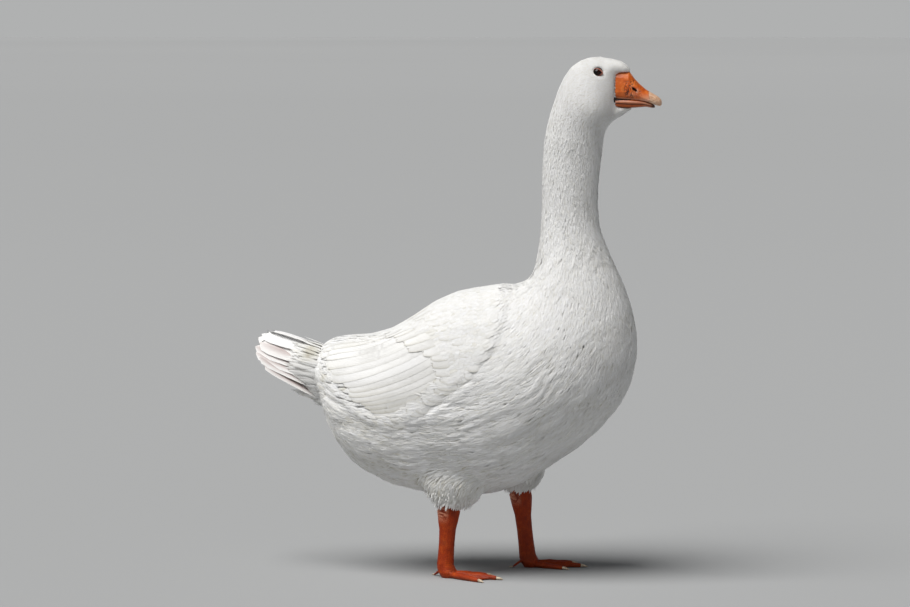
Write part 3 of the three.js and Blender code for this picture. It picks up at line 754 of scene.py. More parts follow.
# White feather keratin, grown and preened: bright, matt, and soft where light gets through its thin edges.
plumage, tree, shader = new_material("white_feather_keratin")
where = add_node(tree, "TexCoord")
dust = add_node(tree, "TexNoise", Vector=where.outputs["Object"], Scale=14.0, Detail=5.0)
tint = add_node(tree, "Attribute", {"attribute_name": "tint"}).outputs["Fac"]
tint_mix = add_node(tree, "Math", {"operation": "MULTIPLY_ADD"}, i0=dust.outputs[0], i1=0.35, i2=tint)
feather_colour = add_node(tree, "ValToRGB", i0=tint_mix.outputs[0], stops=PLUMAGE_STOPS)
set_inputs(
    tree,
    shader,
    Base_Color=feather_colour.outputs[0],
    Normal=barbs_on(tree, 0.9, BARB_SPACING, 0.25, 0.0004),
    Roughness=0.62,
    IOR=1.54,
    Specular_IOR_Level=0.25,
    Sheen_Weight=0.12,
    Sheen_Roughness=0.5,
    Subsurface_Weight=0.3,
    Subsurface_Radius=(1, 1, 1),
    Subsurface_Scale=2 * MM,
)

# Down, loose and uncombed: a fluffy dull white that shows only in the gaps between feathers.
underdown = grainy_material("white_down_on_skin", 220.0, 4.0, DOWN_STOPS, 0.4, 0.0006, Roughness=0.9)
skin.data.materials.append(underdown)
print("plumage and down mixed")

# %% [markdown]
# ## The small feathers
# Four templates cover the bird. The face has velvety slips of feather 3 to 5 mm long, the neck has narrow
# ones, the body has broad arched ones 3 cm long, and the thighs and the vent have loose downy ones. Each
# starts at its root on the skin, takes a few steps along the coat and settles on the skin after each.

# %% Sizes of the small feathers
HEAD_END = 128  # mm from the bill, along the bird
NECK_END = 400
# Spacing, length and half width in mm, at ways along the bird in mm.
SIZE_WAYS = [14, 40, 90, 128, 180, 300, 400, 470, 600, 990]
SPACINGS = [0.9, 1.2, 1.5, 1.6, 1.7, 1.9, 2.1, 2.4, 2.6, 2.7]
LENGTHS = [2.4, 4.4, 6.5, 9, 13, 16, 20, 25, 28, 28]
HALVES = [0.5, 0.8, 1.0, 1.15, 1.3, 1.45, 1.7, 2.0, 2.3, 2.4]
TRUNK_HEIGHT = 300  # mm; the height of the trunk's middle
RUMP_END = 226  # mm behind the goose's zero
# Where the small shoulder feathers end, in mm, at angles round the trunk in degrees.
SHOULDER_ANGLES = [-10, 20, 45, 90]
SHOULDER_ENDS = [30, 45, 10, -160]

# A blade is made of rings: how far along the feather each lies, and its share of the widest half width.
BLADE_ACROSS = np.array([-1.0, 0.0, 1.0])
HEAD_BLADE = ([0.5, 1.0], [1.0, 0.3])
NECK_BLADE = ([0.35, 0.7, 1.0], [0.9, 0.9, 0.15])
BODY_BLADE = ([0.24, 0.5, 0.76, 1.0], [0.8, 1.0, 0.76, 0.14])
DOWN_BLADE = ([0.25, 0.5, 0.78, 1.0], [0.8, 1.0, 0.7, 0.12])


def from_root(blade):
    """A blade's two lists as arrays, with a 0 for the root point before them."""
    return (np.array([0.0, *values]) for values in blade)


# %% Roots
def degrees_round_trunk(points):
    """The angle of places round the trunk's middle: 90 is the back and 0 is straight out to the side."""
    return np.degrees(np.arctan2(points[:, 2] - TRUNK_HEIGHT * MM, np.abs(points[:, 1])))


def on_shoulder(points):
    """True where the small shoulder feathers grow, ahead of the wing's long rows."""
    ends = np.interp(degrees_round_trunk(points), SHOULDER_ANGLES, SHOULDER_ENDS)
    return (points[:, 0] - ZERO_X) / MM > ends


spacing = np.interp(way, SIZE_WAYS, SPACINGS)
shoulder_spacing = np.interp(wing_wide, [0.3, 0.65], [2.6, 3.5])
wing_spacing = np.where(wing_wide < 0.8, 3.2, 4.5)
wing_spacing = np.where(on_shoulder(skin_points), shoulder_spacing, wing_spacing)
spacing = spacing + wing_soft * (wing_spacing - spacing) * (wing_soft > 0.5)
spacing = spacing + thigh_soft * (2.4 - spacing)
roots = scatter(spacing, seed=3)
roots = roots[roots[:, 0] > ZERO_X - RUMP_END * MM]
roots, root_normals, root_fields = settle(roots)
print("roots:", len(roots))

# %% Laying a feather on the skin
EYE_CENTRE = np.array([233, 17.3, 796.5])  # mm
LID_REACH = 8.7  # mm
LID_SQUEEZE = 0.85  # the lids' opening is this much lower than it is long


def part_round_the_eyes(points):
    """Moves points that would lie over an eye straight out to the edge of its lids."""
    for side in (1, -1):
        centre = np.array(place(*(EYE_CENTRE * (1, side, 1))))
        offset = points - centre
        flat = offset * (1, 0, 1 / LID_SQUEEZE)
        far = np.linalg.norm(flat, axis=1, keepdims=True)
        covered = (far[:, 0] < LID_REACH * MM) & (offset[:, 1] * side > -12 * MM)
        pushed = points + unit(flat) * (1, 0, LID_SQUEEZE) * (LID_REACH * MM - far)
        points = np.where(covered[:, None], pushed, points)
    return points


def lay(roots, headings, length, steps):
    """The places, normals and fields of each feather's rings, step by step along the skin."""
    at, normal, fields = settle(roots)
    heading = unit(headings - (headings * normal).sum(1, keepdims=True) * normal)
    all_places, all_normals, all_fields = [at], [normal], [fields]
    done = 0
    for step in steps:
        ahead = at + heading * (length * (step - done) * MM)[:, None]
        at, normal, fields = settle(part_round_the_eyes(ahead))
        heading = unit(heading - (heading * normal).sum(1, keepdims=True) * normal)
        done = step
        all_places.append(at)
        all_normals.append(normal)
        all_fields.append(fields)
    return [np.stack(values, axis=1) for values in (all_places, all_normals, all_fields)]


def relief_across(places, fields, half, across):
    """The furrows and lumps under each point across a feather, in mm, for all rings but the root."""
    f = fields[:, 1:, :]
    y = places[:, 1:, 1]
    outward = np.where(y >= 0, 1, -1)[..., None] * half[:, 1:, None] * across
    way_there, round_there = f[..., WAY, None], f[..., ROUND, None] + outward
    values = (way_there, round_there, y[..., None], f[..., WING, None], f[..., PILLOW, None])
    return relief(*np.broadcast_arrays(*values))


# %% Dirt
# Where the coat is soiled: x, y and z of the middle in mm, radius in mm, and strength.
SOILED = [(-228, -40, 348, 11, 0.7), (-196, -70, 312, 6, 0.5), (-160, -90, 297, 5, 0.5)]
SOILED += [(-214, 52, 330, 9, 0.5), (-110, 104, 262, 7, 0.4)]


def soil(points):
    """How much each place is soiled, from 0 for clean."""
    total = np.zeros(points.shape[:-1])
    for x, y, z, radius, strength in SOILED:
        apart = np.linalg.norm((points - np.array(place(x, y, z))) * (1, 0.35, 1), axis=-1) / MM
        total += strength * np.exp(-((apart / radius) ** 2)) * (points[..., 1] * y > 0)
    return total


# %% A piece of the coat
def coat_piece(name, chosen, blade, seed, splay=7, fluff=0.0, lift=0.92, arch=0.3, tint=0.0, longer=1.0):
    """Feathers of one kind on the chosen roots. They stray from the coat's direction by about splay
    degrees, rise to the share lift of its depth, and some loose tips stand up by as much as fluff mm."""
    random = np.random.default_rng(seed)
    at, normals, fields = roots[chosen], root_normals[chosen], root_fields[chosen]
    count = len(at)
    length = np.interp(fields[:, WAY], SIZE_WAYS, LENGTHS) * random.uniform(0.85, 1.15, count) * longer
    widest = np.interp(fields[:, WAY], SIZE_WAYS, HALVES) * random.uniform(0.85, 1.15, count)
    turn = np.radians(random.normal(0, splay, count))[:, None]
    run = unit(fields[:, RUN])
    heading = run * np.cos(turn) + np.cross(normals, run) * np.sin(turn)
    along, shares = from_root(blade)
    places, ring_normals, ring_fields = lay(at, heading, length, along[1:])
    half = widest[:, None] * shares
    lifts = np.broadcast_to(lift, len(roots))[chosen] + random.normal(0, 0.018, count)
    top = ring_fields[..., DEPTH] * lifts[:, None]
    height = lift_and_press(along, top) + fluff * random.uniform(0, 1, count)[:, None] ** 4 * along**2
    waves = relief_across(places, ring_fields, half, BLADE_ACROSS)
    # The troughs of the furrows are painted darker, as shade, and soiled places are stained.
    trough_shade_and_soil = np.zeros((count, len(along) - 1, len(BLADE_ACROSS) + 1))
    trough_shade_and_soil[..., :-1] = np.clip(-0.3 * waves, 0, 0.6) + soil(places[:, 1:])[..., None]
    looks = {
        "arch": arch,
        "thick": np.clip(widest * 0.14, 0.16, 0.5)[:, None],
        "extra": waves * np.minimum(along[1:, None] * 2.5, 1),
        "edge": trough_shade_and_soil,
        "tint": np.clip(random.normal(tint + 0.12, 0.1, count), 0, 1),
        "unrolled": unrolled(fields),
        "blunt": 0.7,
    }
    make_feathers(name, places, ring_normals, half, height, BLADE_ACROSS, plumage, looks)


# %% Head, neck, breast, flanks and thighs
BREAST_END = 590  # mm from the bill, along the bird
root_way = root_fields[:, WAY]
is_wing = root_fields[:, WING] > 0.5
is_thigh = root_fields[:, THIGH] > 0.5
is_head = root_way < HEAD_END
is_neck = ~is_head & (root_way < NECK_END)
is_down = ~is_wing & (is_thigh | ((root_way > 700) & (root_fields[:, ROUND] > 205)))
is_body = ~(is_head | is_neck | is_wing | is_down)
is_left = roots[:, 1] > 0
for side, here in (("left", is_left), ("right", ~is_left)):
    coat_piece("head_feathers_" + side, is_head & here, HEAD_BLADE, 21, splay=10)
    coat_piece("neck_feathers_" + side, is_neck & here, NECK_BLADE, 22, splay=5, fluff=1.2, arch=0.16)
    front = here & (root_way < BREAST_END)
    coat_piece("breast_feathers_" + side, is_body & front, BODY_BLADE, 23, splay=6, fluff=0.8, arch=0.24)
    coat_piece("flank_feathers_" + side, is_body & here & ~front, BODY_BLADE, 24, splay=9, fluff=1.5)
    coat_piece("thigh_and_vent_down_" + side, is_down & here, DOWN_BLADE, 25, splay=11, fluff=1.8, tint=0.1)


# %% [markdown]
# ## Feathers that hang free
# Where the feathering ends above the hock, the last downy feathers hang over the bare shank. The tail has
# the same at its root, where soft white coverts reach out over the stiff fan. They can't be settled on
# the skin like the others, so they run straight from their roots: down and in towards the leg, or along
# the tail.

# %% Feathers that run straight
SKIRT_BLADE = ([0.3, 0.55, 0.8, 1.0], [0.9, 1.0, 0.75, 0.15])


def hang(name, chosen, away, heading, length, half, top, random):
    """Feathers that run straight on from the chosen roots, with away as their outer side."""
    at, fields = roots[chosen], root_fields[chosen]
    count = len(at)
    along, shares = from_root(SKIRT_BLADE)
    lengths = length * random.uniform(0.5, 1.15, count)
    centres = at[:, None] + heading[:, None] * (lengths[:, None] * along)[..., None] * MM
    widths = half * random.uniform(0.8, 1.2, count)[:, None] * shares
    height = top * np.sin(np.minimum(along * 3, 1.2)) * random.uniform(0.7, 1.2, count)[:, None]
    looks = {
        "arch": 0.3,
        "thick": 0.25,
        "tint": random.uniform(0.1, 0.35, count),
        "edge": np.repeat(soil(centres[:, 1:])[..., None], 4, axis=2),
        "unrolled": unrolled(fields),
    }
    normals = np.broadcast_to(away[:, None], centres.shape)
    make_feathers(name, centres, normals, widths, height, BLADE_ACROSS, plumage, looks)


# %% Thigh skirts and tail coverts
# The hock joints in mm, how high over a thigh's lowest roots its skirt begins, and how long it is in mm.
HOCKS = {"right": (6, -71, 121), "left": (91, 70, 134)}
SKIRT_HEIGHT = 26 * MM
SKIRT_LENGTH = 13
COVERTS_START = 208  # mm behind the goose's zero
COVERTS_LENGTH = 42  # mm
TAIL_RUN = unit(np.array([-1, 0, 0.26]))
for side_name, side in SIDES.items():
    random = np.random.default_rng(26 + side)
    low = is_thigh & (roots[:, 1] * side > 0)
    low &= roots[:, 2] < roots[low, 2].min() + SKIRT_HEIGHT
    away = unit((roots[low] - np.array(place(*HOCKS[side_name]))) * (1, 1, 0))
    inward = away * random.uniform(0.1, 0.5, len(away))[:, None]
    heading = unit(THIGH_RUN - inward + random.normal(0, 0.12, away.shape))
    hang("thigh_skirt_" + side_name, low, away, heading, SKIRT_LENGTH, 1.5, 2.8, random)

    hind = (roots[:, 0] < ZERO_X - COVERTS_START * MM) & (roots[:, 1] * side > 0)
    away = unit(root_normals[hind] * (0.3, 1, 1))
    heading = unit(TAIL_RUN + away * (0.05, 0.16, 0.02) + random.normal(0, 0.05, away.shape))
    reach = COVERTS_LENGTH * np.clip(1 + 1.3 * away[:, 2], 0.4, 1)
    hang("tail_coverts_" + side_name, hind, away, heading, reach, 2.8, 4.4, random)


# %% [markdown]
# ## The folded wings
# A folded wing is a stack of tiles. The long secondaries and tertials lie lowest and show only their hind
# ends, the greater coverts lie over their roots, and the median coverts over those. Each feather of a row
# overlaps the one below it. They are few and large, so every one is laid by its own root and tip, given
# as a place along the body and an angle round it: 90 degrees is the back and 0 is straight out to the
# side.

# %% The wing's rows
# A quill's rings are close together, so that its long vane follows the skin.
QUILL_STEPS = [*np.linspace(0.06, 0.93, 16), 0.97, 1.0]
OUTLINE_STEPS = [0, 0.05, 0.12, 0.3, 0.65, 0.8, 0.92, 0.97, 1]
OUTLINE_SHARES = [0, 0.6, 0.85, 0.97, 1, 0.96, 0.84, 0.62, 0.3]
QUILL = (QUILL_STEPS, np.interp(QUILL_STEPS, OUTLINE_STEPS, OUTLINE_SHARES))
QUILL_ACROSS = np.array([-1, -0.66, -0.33, 0, 0.33, 0.66, 1])
OUTSIDE = 0.5  # m; farther from the trunk's middle than any feather
WING_CURVE = -2.0  # degrees that the middle of each quill sags below the straight line
# Each row has its tips and roots from the back down, the number of feathers, and in mm their half width,
# their height over the skin at the root and at the tip, and how far the tip is pressed down again.
WING_ROWS = {
    "secondaries": {
        "tips": [(-206, 66), (-205, 50), (-192, 29), (-178, 12), (-160, 0), (-142, -7), (-122, -11),
                 (-106, -17), (-90, -22), (-66, -26), (-40, -27)],
        "roots": [(-56, 80), (-44, 66), (-28, 48), (-12, 38), (2, 29), (12, 19), (16, 11),
                  (20, 3), (34, -4), (52, -9), (66, -11)],
        "count": 21, "half": 17.0, "low": 6.1, "high": 7.0, "press": 0.9,
    },
    "greater_coverts": {
        "tips": [(-112, 72), (-96, 58), (-74, 46), (-46, 34), (-16, 24), (2, 13), (-4, 4), (-28, -5),
                 (-52, -13), (-40, -20)],
        "roots": [(-20, 82), (-8, 68), (10, 58), (36, 46), (60, 34), (74, 22), (68, 12), (46, 5),
                  (26, -4), (38, -10)],
        "count": 20, "half": 14.5, "low": 6.6, "high": 7.6, "press": 0.45,
    },
    "median_coverts": {
        "tips": [(-66, 76), (-44, 62), (-18, 50), (8, 38), (32, 28), (44, 17), (34, 8), (12, 0), (2, -8)],
        "roots": [(2, 84), (20, 70), (44, 60), (66, 48), (84, 38), (92, 27), (84, 17), (66, 9), (54, 2)],
        "count": 19, "half": 12.5, "low": 7.1, "high": 8.0, "press": 0.4,
    },
}

# %% Tools for the wing
def on_side(x, angle, side):
    """Places on the skin, found by a ray from outside it towards the trunk's middle line. They are given
    by the way along the body in mm and the angle round it in degrees."""
    found = []
    for x_mm, degrees in zip(x.ravel(), np.radians(angle).ravel()):
        outward = Vector((0, side * math.cos(degrees), math.sin(degrees)))
        origin = place(x_mm, 0, TRUNK_HEIGHT) + outward * OUTSIDE
        found.append(skin_tree.ray_cast(origin, -outward)[0])
    return np.array(found).reshape(*x.shape, 3)


def between(pairs, share):
    """Points along a list of pairs, for shares from 0 to 1 of the list."""
    pairs = np.array(pairs, float)
    at = np.asarray(share) * (len(pairs) - 1)
    return np.stack([np.interp(at, np.arange(len(pairs)), pairs[:, i]) for i in range(pairs.shape[1])], -1)


# %% Wing feathers
def wing_row(name, row, side_name, seed):
    """One row of quills on one wing. Each is a little off its even place, and its end is ragged."""
    side = SIDES[side_name]
    random = np.random.default_rng(seed + side)
    count = row["count"]
    share = np.linspace(0, 1, count)
    tips = between(row["tips"], share) + random.normal(0, (3.4, 0.9), (count, 2))
    feather_roots = between(row["roots"], share)
    along, shares = from_root(QUILL)
    path = feather_roots[:, None] + (tips - feather_roots)[:, None] * along[:, None]
    path[..., 1] += (WING_CURVE + random.normal(0, 0.5, (count, 1))) * np.sin(math.pi * along)
    places = on_side(path[..., 0], path[..., 1], side)
    normals, fields = (settle(places.reshape(-1, 3))[i].reshape(count, len(along), -1) for i in (1, 2))
    half = row["half"] * random.uniform(0.93, 1.07, count)[:, None] * shares
    rise = row["low"] + (row["high"] - row["low"]) * along**1.2
    bulge = 0.3 * noise(path[..., 0] / 60, path[..., 1] / 26, side * 3.0 + 0 * along)
    height = rise + random.normal(0, 0.02, count)[:, None] - row["press"] * along**7 + bulge
    height = height * np.clip(1.6 * fields[..., WING] - 0.6, 0.1, 1)
    # Each quill's side rims are painted darker towards its tip, as shade where it lies over the next, and
    # soiled places are stained.
    edge = np.zeros((count, len(along) - 1, len(QUILL_ACROSS) + 1))
    edge[..., :-1] = 0.3 * np.abs(QUILL_ACROSS) ** 5 * along[1:, None] + soil(places[:, 1:])[..., None]
    looks = {
        "arch": 0.0,
        "thick": 0.22,
        "roll": 0.32 * side,
        "draped": True,
        "blunt": 0.9,
        "ragged": random.uniform(-0.9, 0.6, (count, len(QUILL_ACROSS))),
        "tint": random.uniform(0.12, 0.28, count),
        "edge": edge,
        "unrolled": unrolled(fields[:, 0]),
    }
    make_feathers(f"{name}_{side_name}", places, normals, half, height, QUILL_ACROSS, plumage, looks)


for row_name, row in WING_ROWS.items():
    for side_name in SIDES:
        wing_row(row_name, row, side_name, seed=40)


# %% [markdown]
# ## Scapulars and lesser coverts
# The shoulder and the upper back carry smooth rounded feathers 5 cm long, whose rims show only as faint
# lines. They are grown like the body's, but run back and down along the wing, and keep its smooth
# surface.

# %% Shoulder feathers
SHOULDER_BLADE = ([0.16, 0.36, 0.58, 0.8, 1.0], [0.7, 0.95, 1.0, 0.85, 0.35])
# How steeply they run down, in degrees, at angles round the trunk in degrees.
WING_SLOPE_ANGLES = [-30, -10, 15, 40, 70, 90]
WING_SLOPES = [8, 14, 24, 26, 20, 4]


def shoulder_piece(name, chosen, seed, length, half, top):
    """Rounded feathers that start as small as the breast's and grow to their full size on the wing."""
    random = np.random.default_rng(seed)
    at, normals, fields = roots[chosen], root_normals[chosen], root_fields[chosen]
    count = len(at)
    slope = np.interp(degrees_round_trunk(at), WING_SLOPE_ANGLES, WING_SLOPES)
    slope = np.radians(slope + random.normal(0, 4, count))
    heading = np.stack([-np.cos(slope), np.zeros(count), -np.sin(slope)], axis=1)
    grown = np.clip((fields[:, WIDE] - 0.3) / 0.5, 0, 1)
    heading = unit(fields[:, RUN] * (1 - grown[:, None]) + heading * grown[:, None])
    lengths = (length * (0.7 + 0.3 * grown)) * random.uniform(0.88, 1.12, count)
    half = half * (0.6 + 0.4 * grown)[:, None]
    along, shares = from_root(SHOULDER_BLADE)
    places, ring_normals, ring_fields = lay(at, heading, lengths, along[1:])
    widths = half * random.uniform(0.9, 1.1, count)[:, None] * shares
    quick = 1.9 - 0.9 * grown[:, None]  # the small ones rise as soon as the breast's feathers do
    height = lift_and_press(along, ring_fields[..., DEPTH] * top, quick)
    height = height + random.normal(0, 0.06, count)[:, None]
    waves = relief_across(places, ring_fields, widths, BLADE_ACROSS)
    # The rims are painted darker, as shade where each feather lies over the next, and so are the troughs of
    # the furrows.
    edge = np.zeros((count, len(along) - 1, len(BLADE_ACROSS) + 1))
    rim = 0.1 * np.abs(BLADE_ACROSS) ** 4 * along[1:, None]
    edge[..., :-1] = rim + np.clip(-0.34 * waves, 0, 0.7)
    looks = {
        "arch": 0.12,
        "thick": 0.25,
        "extra": waves * np.minimum(along[1:, None] * 2.5, 1),
        "blunt": 0.6,
        "tint": np.clip(random.normal(0.14, 0.1, count), 0, 1),
        "edge": edge,
        "unrolled": unrolled(fields),
    }
    make_feathers(name, places, ring_normals, widths, height, BLADE_ACROSS, plumage, looks)


# %% Shoulders, wing coverts and rump
BACK_HEIGHT = 360 * MM
is_shoulder = is_wing & on_shoulder(roots)
is_rump = is_wing & ~is_shoulder & (root_fields[:, WIDE] < 0.8) & (roots[:, 2] < BACK_HEIGHT)
# Breast feathers thin out at random over the first rows of the shoulder, so that no seam shows there.
border_reach = np.random.default_rng(29).uniform(0.55, 1.0, len(roots))
is_border = is_shoulder & (root_fields[:, WIDE] < border_reach)
border_lift = np.interp(root_fields[:, WIDE], [0.45, 1.0], [0.93, 0.9])
raised = np.interp(np.abs(root_fields[:, ANGLE]), np.radians([25, 45]), [0.92, 0.7])
for side, here in (("left", is_left), ("right", ~is_left)):
    shoulder_piece("shoulder_feathers_" + side, is_shoulder & here, 31, length=36, half=4.6, top=0.96)
    border = {"splay": 6, "lift": border_lift, "arch": 0.2, "longer": 1.3}
    coat_piece("shoulder_border_" + side, is_border & here, BODY_BLADE, 35, **border)
    underlayer = is_wing & here & ~is_shoulder & ~is_rump
    coat_piece("wing_underlayer_" + side, underlayer, BODY_BLADE, 33, lift=raised)
    coat_piece("rump_feathers_" + side, is_rump & here, BODY_BLADE, 32, splay=9, fluff=1.0, lift=0.9)


# %% [markdown]
# ## The tail
# Sixteen stiff feathers make the folded tail fan. Seen from behind they stand like a steep roof: the
# middle pair lies on top and each outer one tucks in below the last. They have a finish of their own: a
# little glossier than the coat, and between white rims the middles of the outer vanes are painted grey, as
# the shade of the tucked-in pairs and the dull light that comes through them.

# %% Tail material
TAIL_BARB_SPACING = 1.4  # mm; coarser than the real ones, as on the coat
TAIL_TONE_AND_SHADE_STOPS = [(0.0, "#F6F6F6"), (0.3, "#EFEBE9"), (0.7, "#C9BBB8"), (1.0, "#A5938D")]

# The thin stiff vane of a tail feather: a little glossier than the coat. Its ramp runs from white to the
# grey that is painted in the middles of the outer vanes as shade.
tail_vane, tree, shader = new_material("thin_tail_vane_keratin")
tint = add_node(tree, "Attribute", {"attribute_name": "tint"}).outputs["Fac"]
vane_colour = add_node(tree, "ValToRGB", i0=tint, stops=TAIL_TONE_AND_SHADE_STOPS)
barbs = barbs_on(tree, 1.1, TAIL_BARB_SPACING, 0.35, 0.0005)
gloss = {"Roughness": 0.5, "IOR": 1.54, "Specular_IOR_Level": 0.3}
set_inputs(tree, shader, Base_Color=vane_colour.outputs[0], Normal=barbs, **gloss)
print("tail vane mixed")

# %% Tail feathers
# Roots and tips of the fan's right half, from the middle out, in mm.
TAIL_ROOTS = [(-205, 0, 347), (-206, 14, 342), (-208, 25, 324), (-208, 32, 302), (-209, 34, 277)]
TAIL_TIPS = [(-307, 0, 381), (-313, 21, 375), (-316, 40, 363), (-313, 55, 349), (-300, 64, 335)]
TAIL_PAIRS = 8
TAIL_COUNT = 2 * TAIL_PAIRS
TAIL_BLADE = ([0.1, 0.3, 0.5, 0.68, 0.82, 0.93, 1.0], [0.55, 0.8, 0.95, 1.0, 0.96, 0.76, 0.36])
TAIL_HALF = 16  # mm

random = np.random.default_rng(51)
rank = np.repeat(np.arange(TAIL_PAIRS), 2)
tail_side = np.tile([1, -1], TAIL_PAIRS)
share = (rank + 0.35) / (TAIL_PAIRS - 0.5)
mirror = np.stack([np.ones(TAIL_COUNT), tail_side, np.ones(TAIL_COUNT)], axis=1)
tail_roots = between(TAIL_ROOTS, share) * mirror
tail_tips = between(TAIL_TIPS, share) * mirror + random.normal(0, (2.2, 0.8, 0.8), (TAIL_COUNT, 3))
fan = (between(TAIL_TIPS, np.minimum(share + 0.06, 1)) - between(TAIL_TIPS, share - 0.06)) * mirror
forward = unit(tail_tips - tail_roots)
fan_across = unit(fan * tail_side[:, None])
outward = unit(np.cross(fan_across, forward))
outward *= np.sign(outward[:, 2:3] + outward[:, 1:2] * tail_side[:, None])
along, shares = from_root(TAIL_BLADE)
centres = tail_roots[:, None] + (tail_tips - tail_roots)[:, None] * along[:, None]
# Each pair tucks in a little below the last, and each feather bows outwards.
lifted = -0.45 * rank[:, None, None] + 2.5 * np.sin(math.pi * along)[:, None]
centres = centres + outward[:, None] * lifted
centres = centres * MM + (ZERO_X, 0, 0)
normals = np.broadcast_to(outward[:, None], centres.shape)
half = TAIL_HALF * shares * random.uniform(0.94, 1.06, TAIL_COUNT)[:, None]
half = half * np.where(rank < 4, 1.2, 1)[:, None]
# The middles of the vanes are painted grey as shade, more on each outer pair, which tucks in lower.
vane_shade_across = 0.95 * np.clip(1.25 - np.abs(QUILL_ACROSS) * 1.35, 0, 1)
vane_middle_shade = np.zeros((TAIL_COUNT, len(along) - 1, len(QUILL_ACROSS) + 1))
vane_middle_shade[..., :-1] = vane_shade_across * np.sin(math.pi * along[1:, None] * 0.86)
vane_middle_shade *= np.clip((rank - 1.0) / 3, 0, 1)[:, None, None]
_, _, tail_fields = settle(centres[:, 0])
# The roots lie close together, so their patches in the map OFBake are moved apart.
patch_shift = np.stack([rank * 0.0035, tail_side * 0.02], axis=1) + (-0.06, 0)
looks = {
    "arch": 0.12,
    "thick": 0.35,
    "roll": 0.12 * tail_side,
    "blunt": 0.9,
    "ragged": random.uniform(-1.8, 1.2, (TAIL_COUNT, len(QUILL_ACROSS))),
    "tint": random.uniform(0.0, 0.15, TAIL_COUNT),
    "edge": vane_middle_shade,
    "unrolled": unrolled(tail_fields) + patch_shift,
}
flat = np.zeros_like(half)
tail_feathers = make_feathers("tail_feathers", centres, normals, half, flat, QUILL_ACROSS, tail_vane, looks)
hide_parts("tail")

# %% [markdown]
# ## Eyes
# A goose's eye is a dark wet ball with a clear bulging cornea in front. It could be left as the plain
# solid, but a small bulge and a separate ring of lids are what make it look alive. A sphere is turned to
# face outwards along the skin's normal, and its front is pulled out a little. The lids are a torus,
# squeezed to an oval with a pointed front corner, the way the bare rim of a goose's eye is drawn out
# towards the bill.

# %% Eye materials
IRIS_STOPS = [(0.0, "#020202"), (0.42, "#030202"), (0.48, "#1E0D07")]
IRIS_STOPS += [(0.62, "#28120A"), (0.72, "#120806"), (1.0, "#080404")]
LID_STOPS = [(0.0, "#170806"), (0.45, "#4A1A0F"), (0.8, "#8A4430"), (1.0, "#C09080")]

# The wet ball of an eye: nearly black, with a dim brown ring of iris and one small sharp highlight. The
# ramp runs from the middle of the pupil out, and a little noise streaks the iris.
wet_eye, tree, shader = new_material("wet_dark_iris")
iris_way = add_node(tree, "Attribute", {"attribute_name": "from_axis"}).outputs["Fac"]
where = add_node(tree, "TexCoord")
streaks = add_node(tree, "TexNoise", Vector=where.outputs["Object"], Scale=900.0, Detail=3.0)
ring = add_node(tree, "Math", {"operation": "MULTIPLY_ADD"}, i0=streaks.outputs[0], i1=0.06, i2=iris_way)
iris_colour = add_node(tree, "ValToRGB", i0=ring.outputs[0], stops=IRIS_STOPS)
cornea = {"Roughness": 0.1, "IOR": 1.34, "Specular_IOR_Level": 0.3}
tears = {"Coat_Weight": 0.12, "Coat_Roughness": 0.03}
set_inputs(tree, shader, Base_Color=iris_colour.outputs[0], **cornea, **tears)

# The bare skin of an eyelid: dark and moist at the eye, and a dull pink, finely wrinkled, at its outer rim.
lid_skin, tree, shader = new_material("bare_eyelid_skin")
rim_way = add_node(tree, "Attribute", {"attribute_name": "outer"})
lid_colour = add_node(tree, "ValToRGB", i0=rim_way.outputs["Fac"], stops=LID_STOPS)
where = add_node(tree, "TexCoord")
wrinkles = add_node(tree, "TexNoise", Vector=where.outputs["Object"], Scale=1400.0, Detail=2.0)
lid_bump = add_node(tree, "Bump", i0=0.4, i1=0.0002, Height=wrinkles.outputs[0])
set_inputs(tree, shader, Base_Color=lid_colour.outputs[0], Normal=lid_bump.outputs[0], Roughness=0.45)
print("eye and eyelid mixed")

# %% The eye's sizes
# All in mm: the ball and its bulging cornea, then the torus of the lids.
EYE_RADIUS = 8.2
CORNEA_RADIUS = 5.2
CORNEA_BULGE = 0.5
LID_RING = 7.0
LID_THICK = 1.4
LID_LIMIT = 8.1  # just inside the ball's own outline


def add_attribute(mesh, name, values):
    """One number for each vertex, which a material can read by its name."""
    layer = mesh.attributes.new(name, "FLOAT", "POINT")
    layer.data.foreach_set("value", np.asarray(values, dtype=np.float32))


def face_outwards(obj):
    """Turns the faces of a closed shape outwards and shades it smooth."""
    only(obj)
    bpy.ops.object.mode_set(mode="EDIT")
    bpy.ops.mesh.select_all(action="SELECT")
    bpy.ops.mesh.normals_make_consistent(inside=False)
    bpy.ops.object.mode_set(mode="OBJECT")
    bpy.ops.object.shade_smooth()


def eye_axes(side):
    """The middle of an eye and its three directions: ahead, up along the face, and out of the head."""
    centre = np.array(place(*(EYE_CENTRE * (1, side, 1))))
    _, eye_normal, _ = settle(centre[None])
    outward = unit(eye_normal[0] + np.array([0.0, side * 1.5, 0.0]))
    ahead = unit(np.array([1.0, 0, 0]) - outward * outward[0])
    upward = np.cross(ahead, outward) * (-side)
    upward *= np.sign(upward[2])
    return centre, ahead, upward, outward


# %% An eyeball
def add_eyeball(side_name, centre, ahead, upward, outward):
    """A ball with a bulging front. Its attribute from_axis says how far each point is from the gaze."""
    bpy.ops.object.select_all(action="DESELECT")
    bpy.ops.mesh.primitive_uv_sphere_add(segments=48, ring_count=32, radius=EYE_RADIUS * MM)
    eye = bpy.context.object
    eye.name = "eyeball_" + side_name
    local = read_points(eye.data)
    off_axis = np.hypot(local[:, 0], local[:, 1]) / MM
    facing = local[:, 2] > 0
    local[:, 2] += CORNEA_BULGE * MM * np.clip(1 - (off_axis / CORNEA_RADIUS) ** 2, 0, 1) * facing
    world_points = centre + local[:, :1] * ahead + local[:, 1:2] * upward + local[:, 2:] * outward
    write_points(eye.data, world_points)
    face_outwards(eye)
    add_attribute(eye.data, "from_axis", np.where(facing, off_axis / EYE_RADIUS, 1))
    eye.data.materials.append(wet_eye)
    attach(eye, BODY)
    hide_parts("eye_" + side_name)


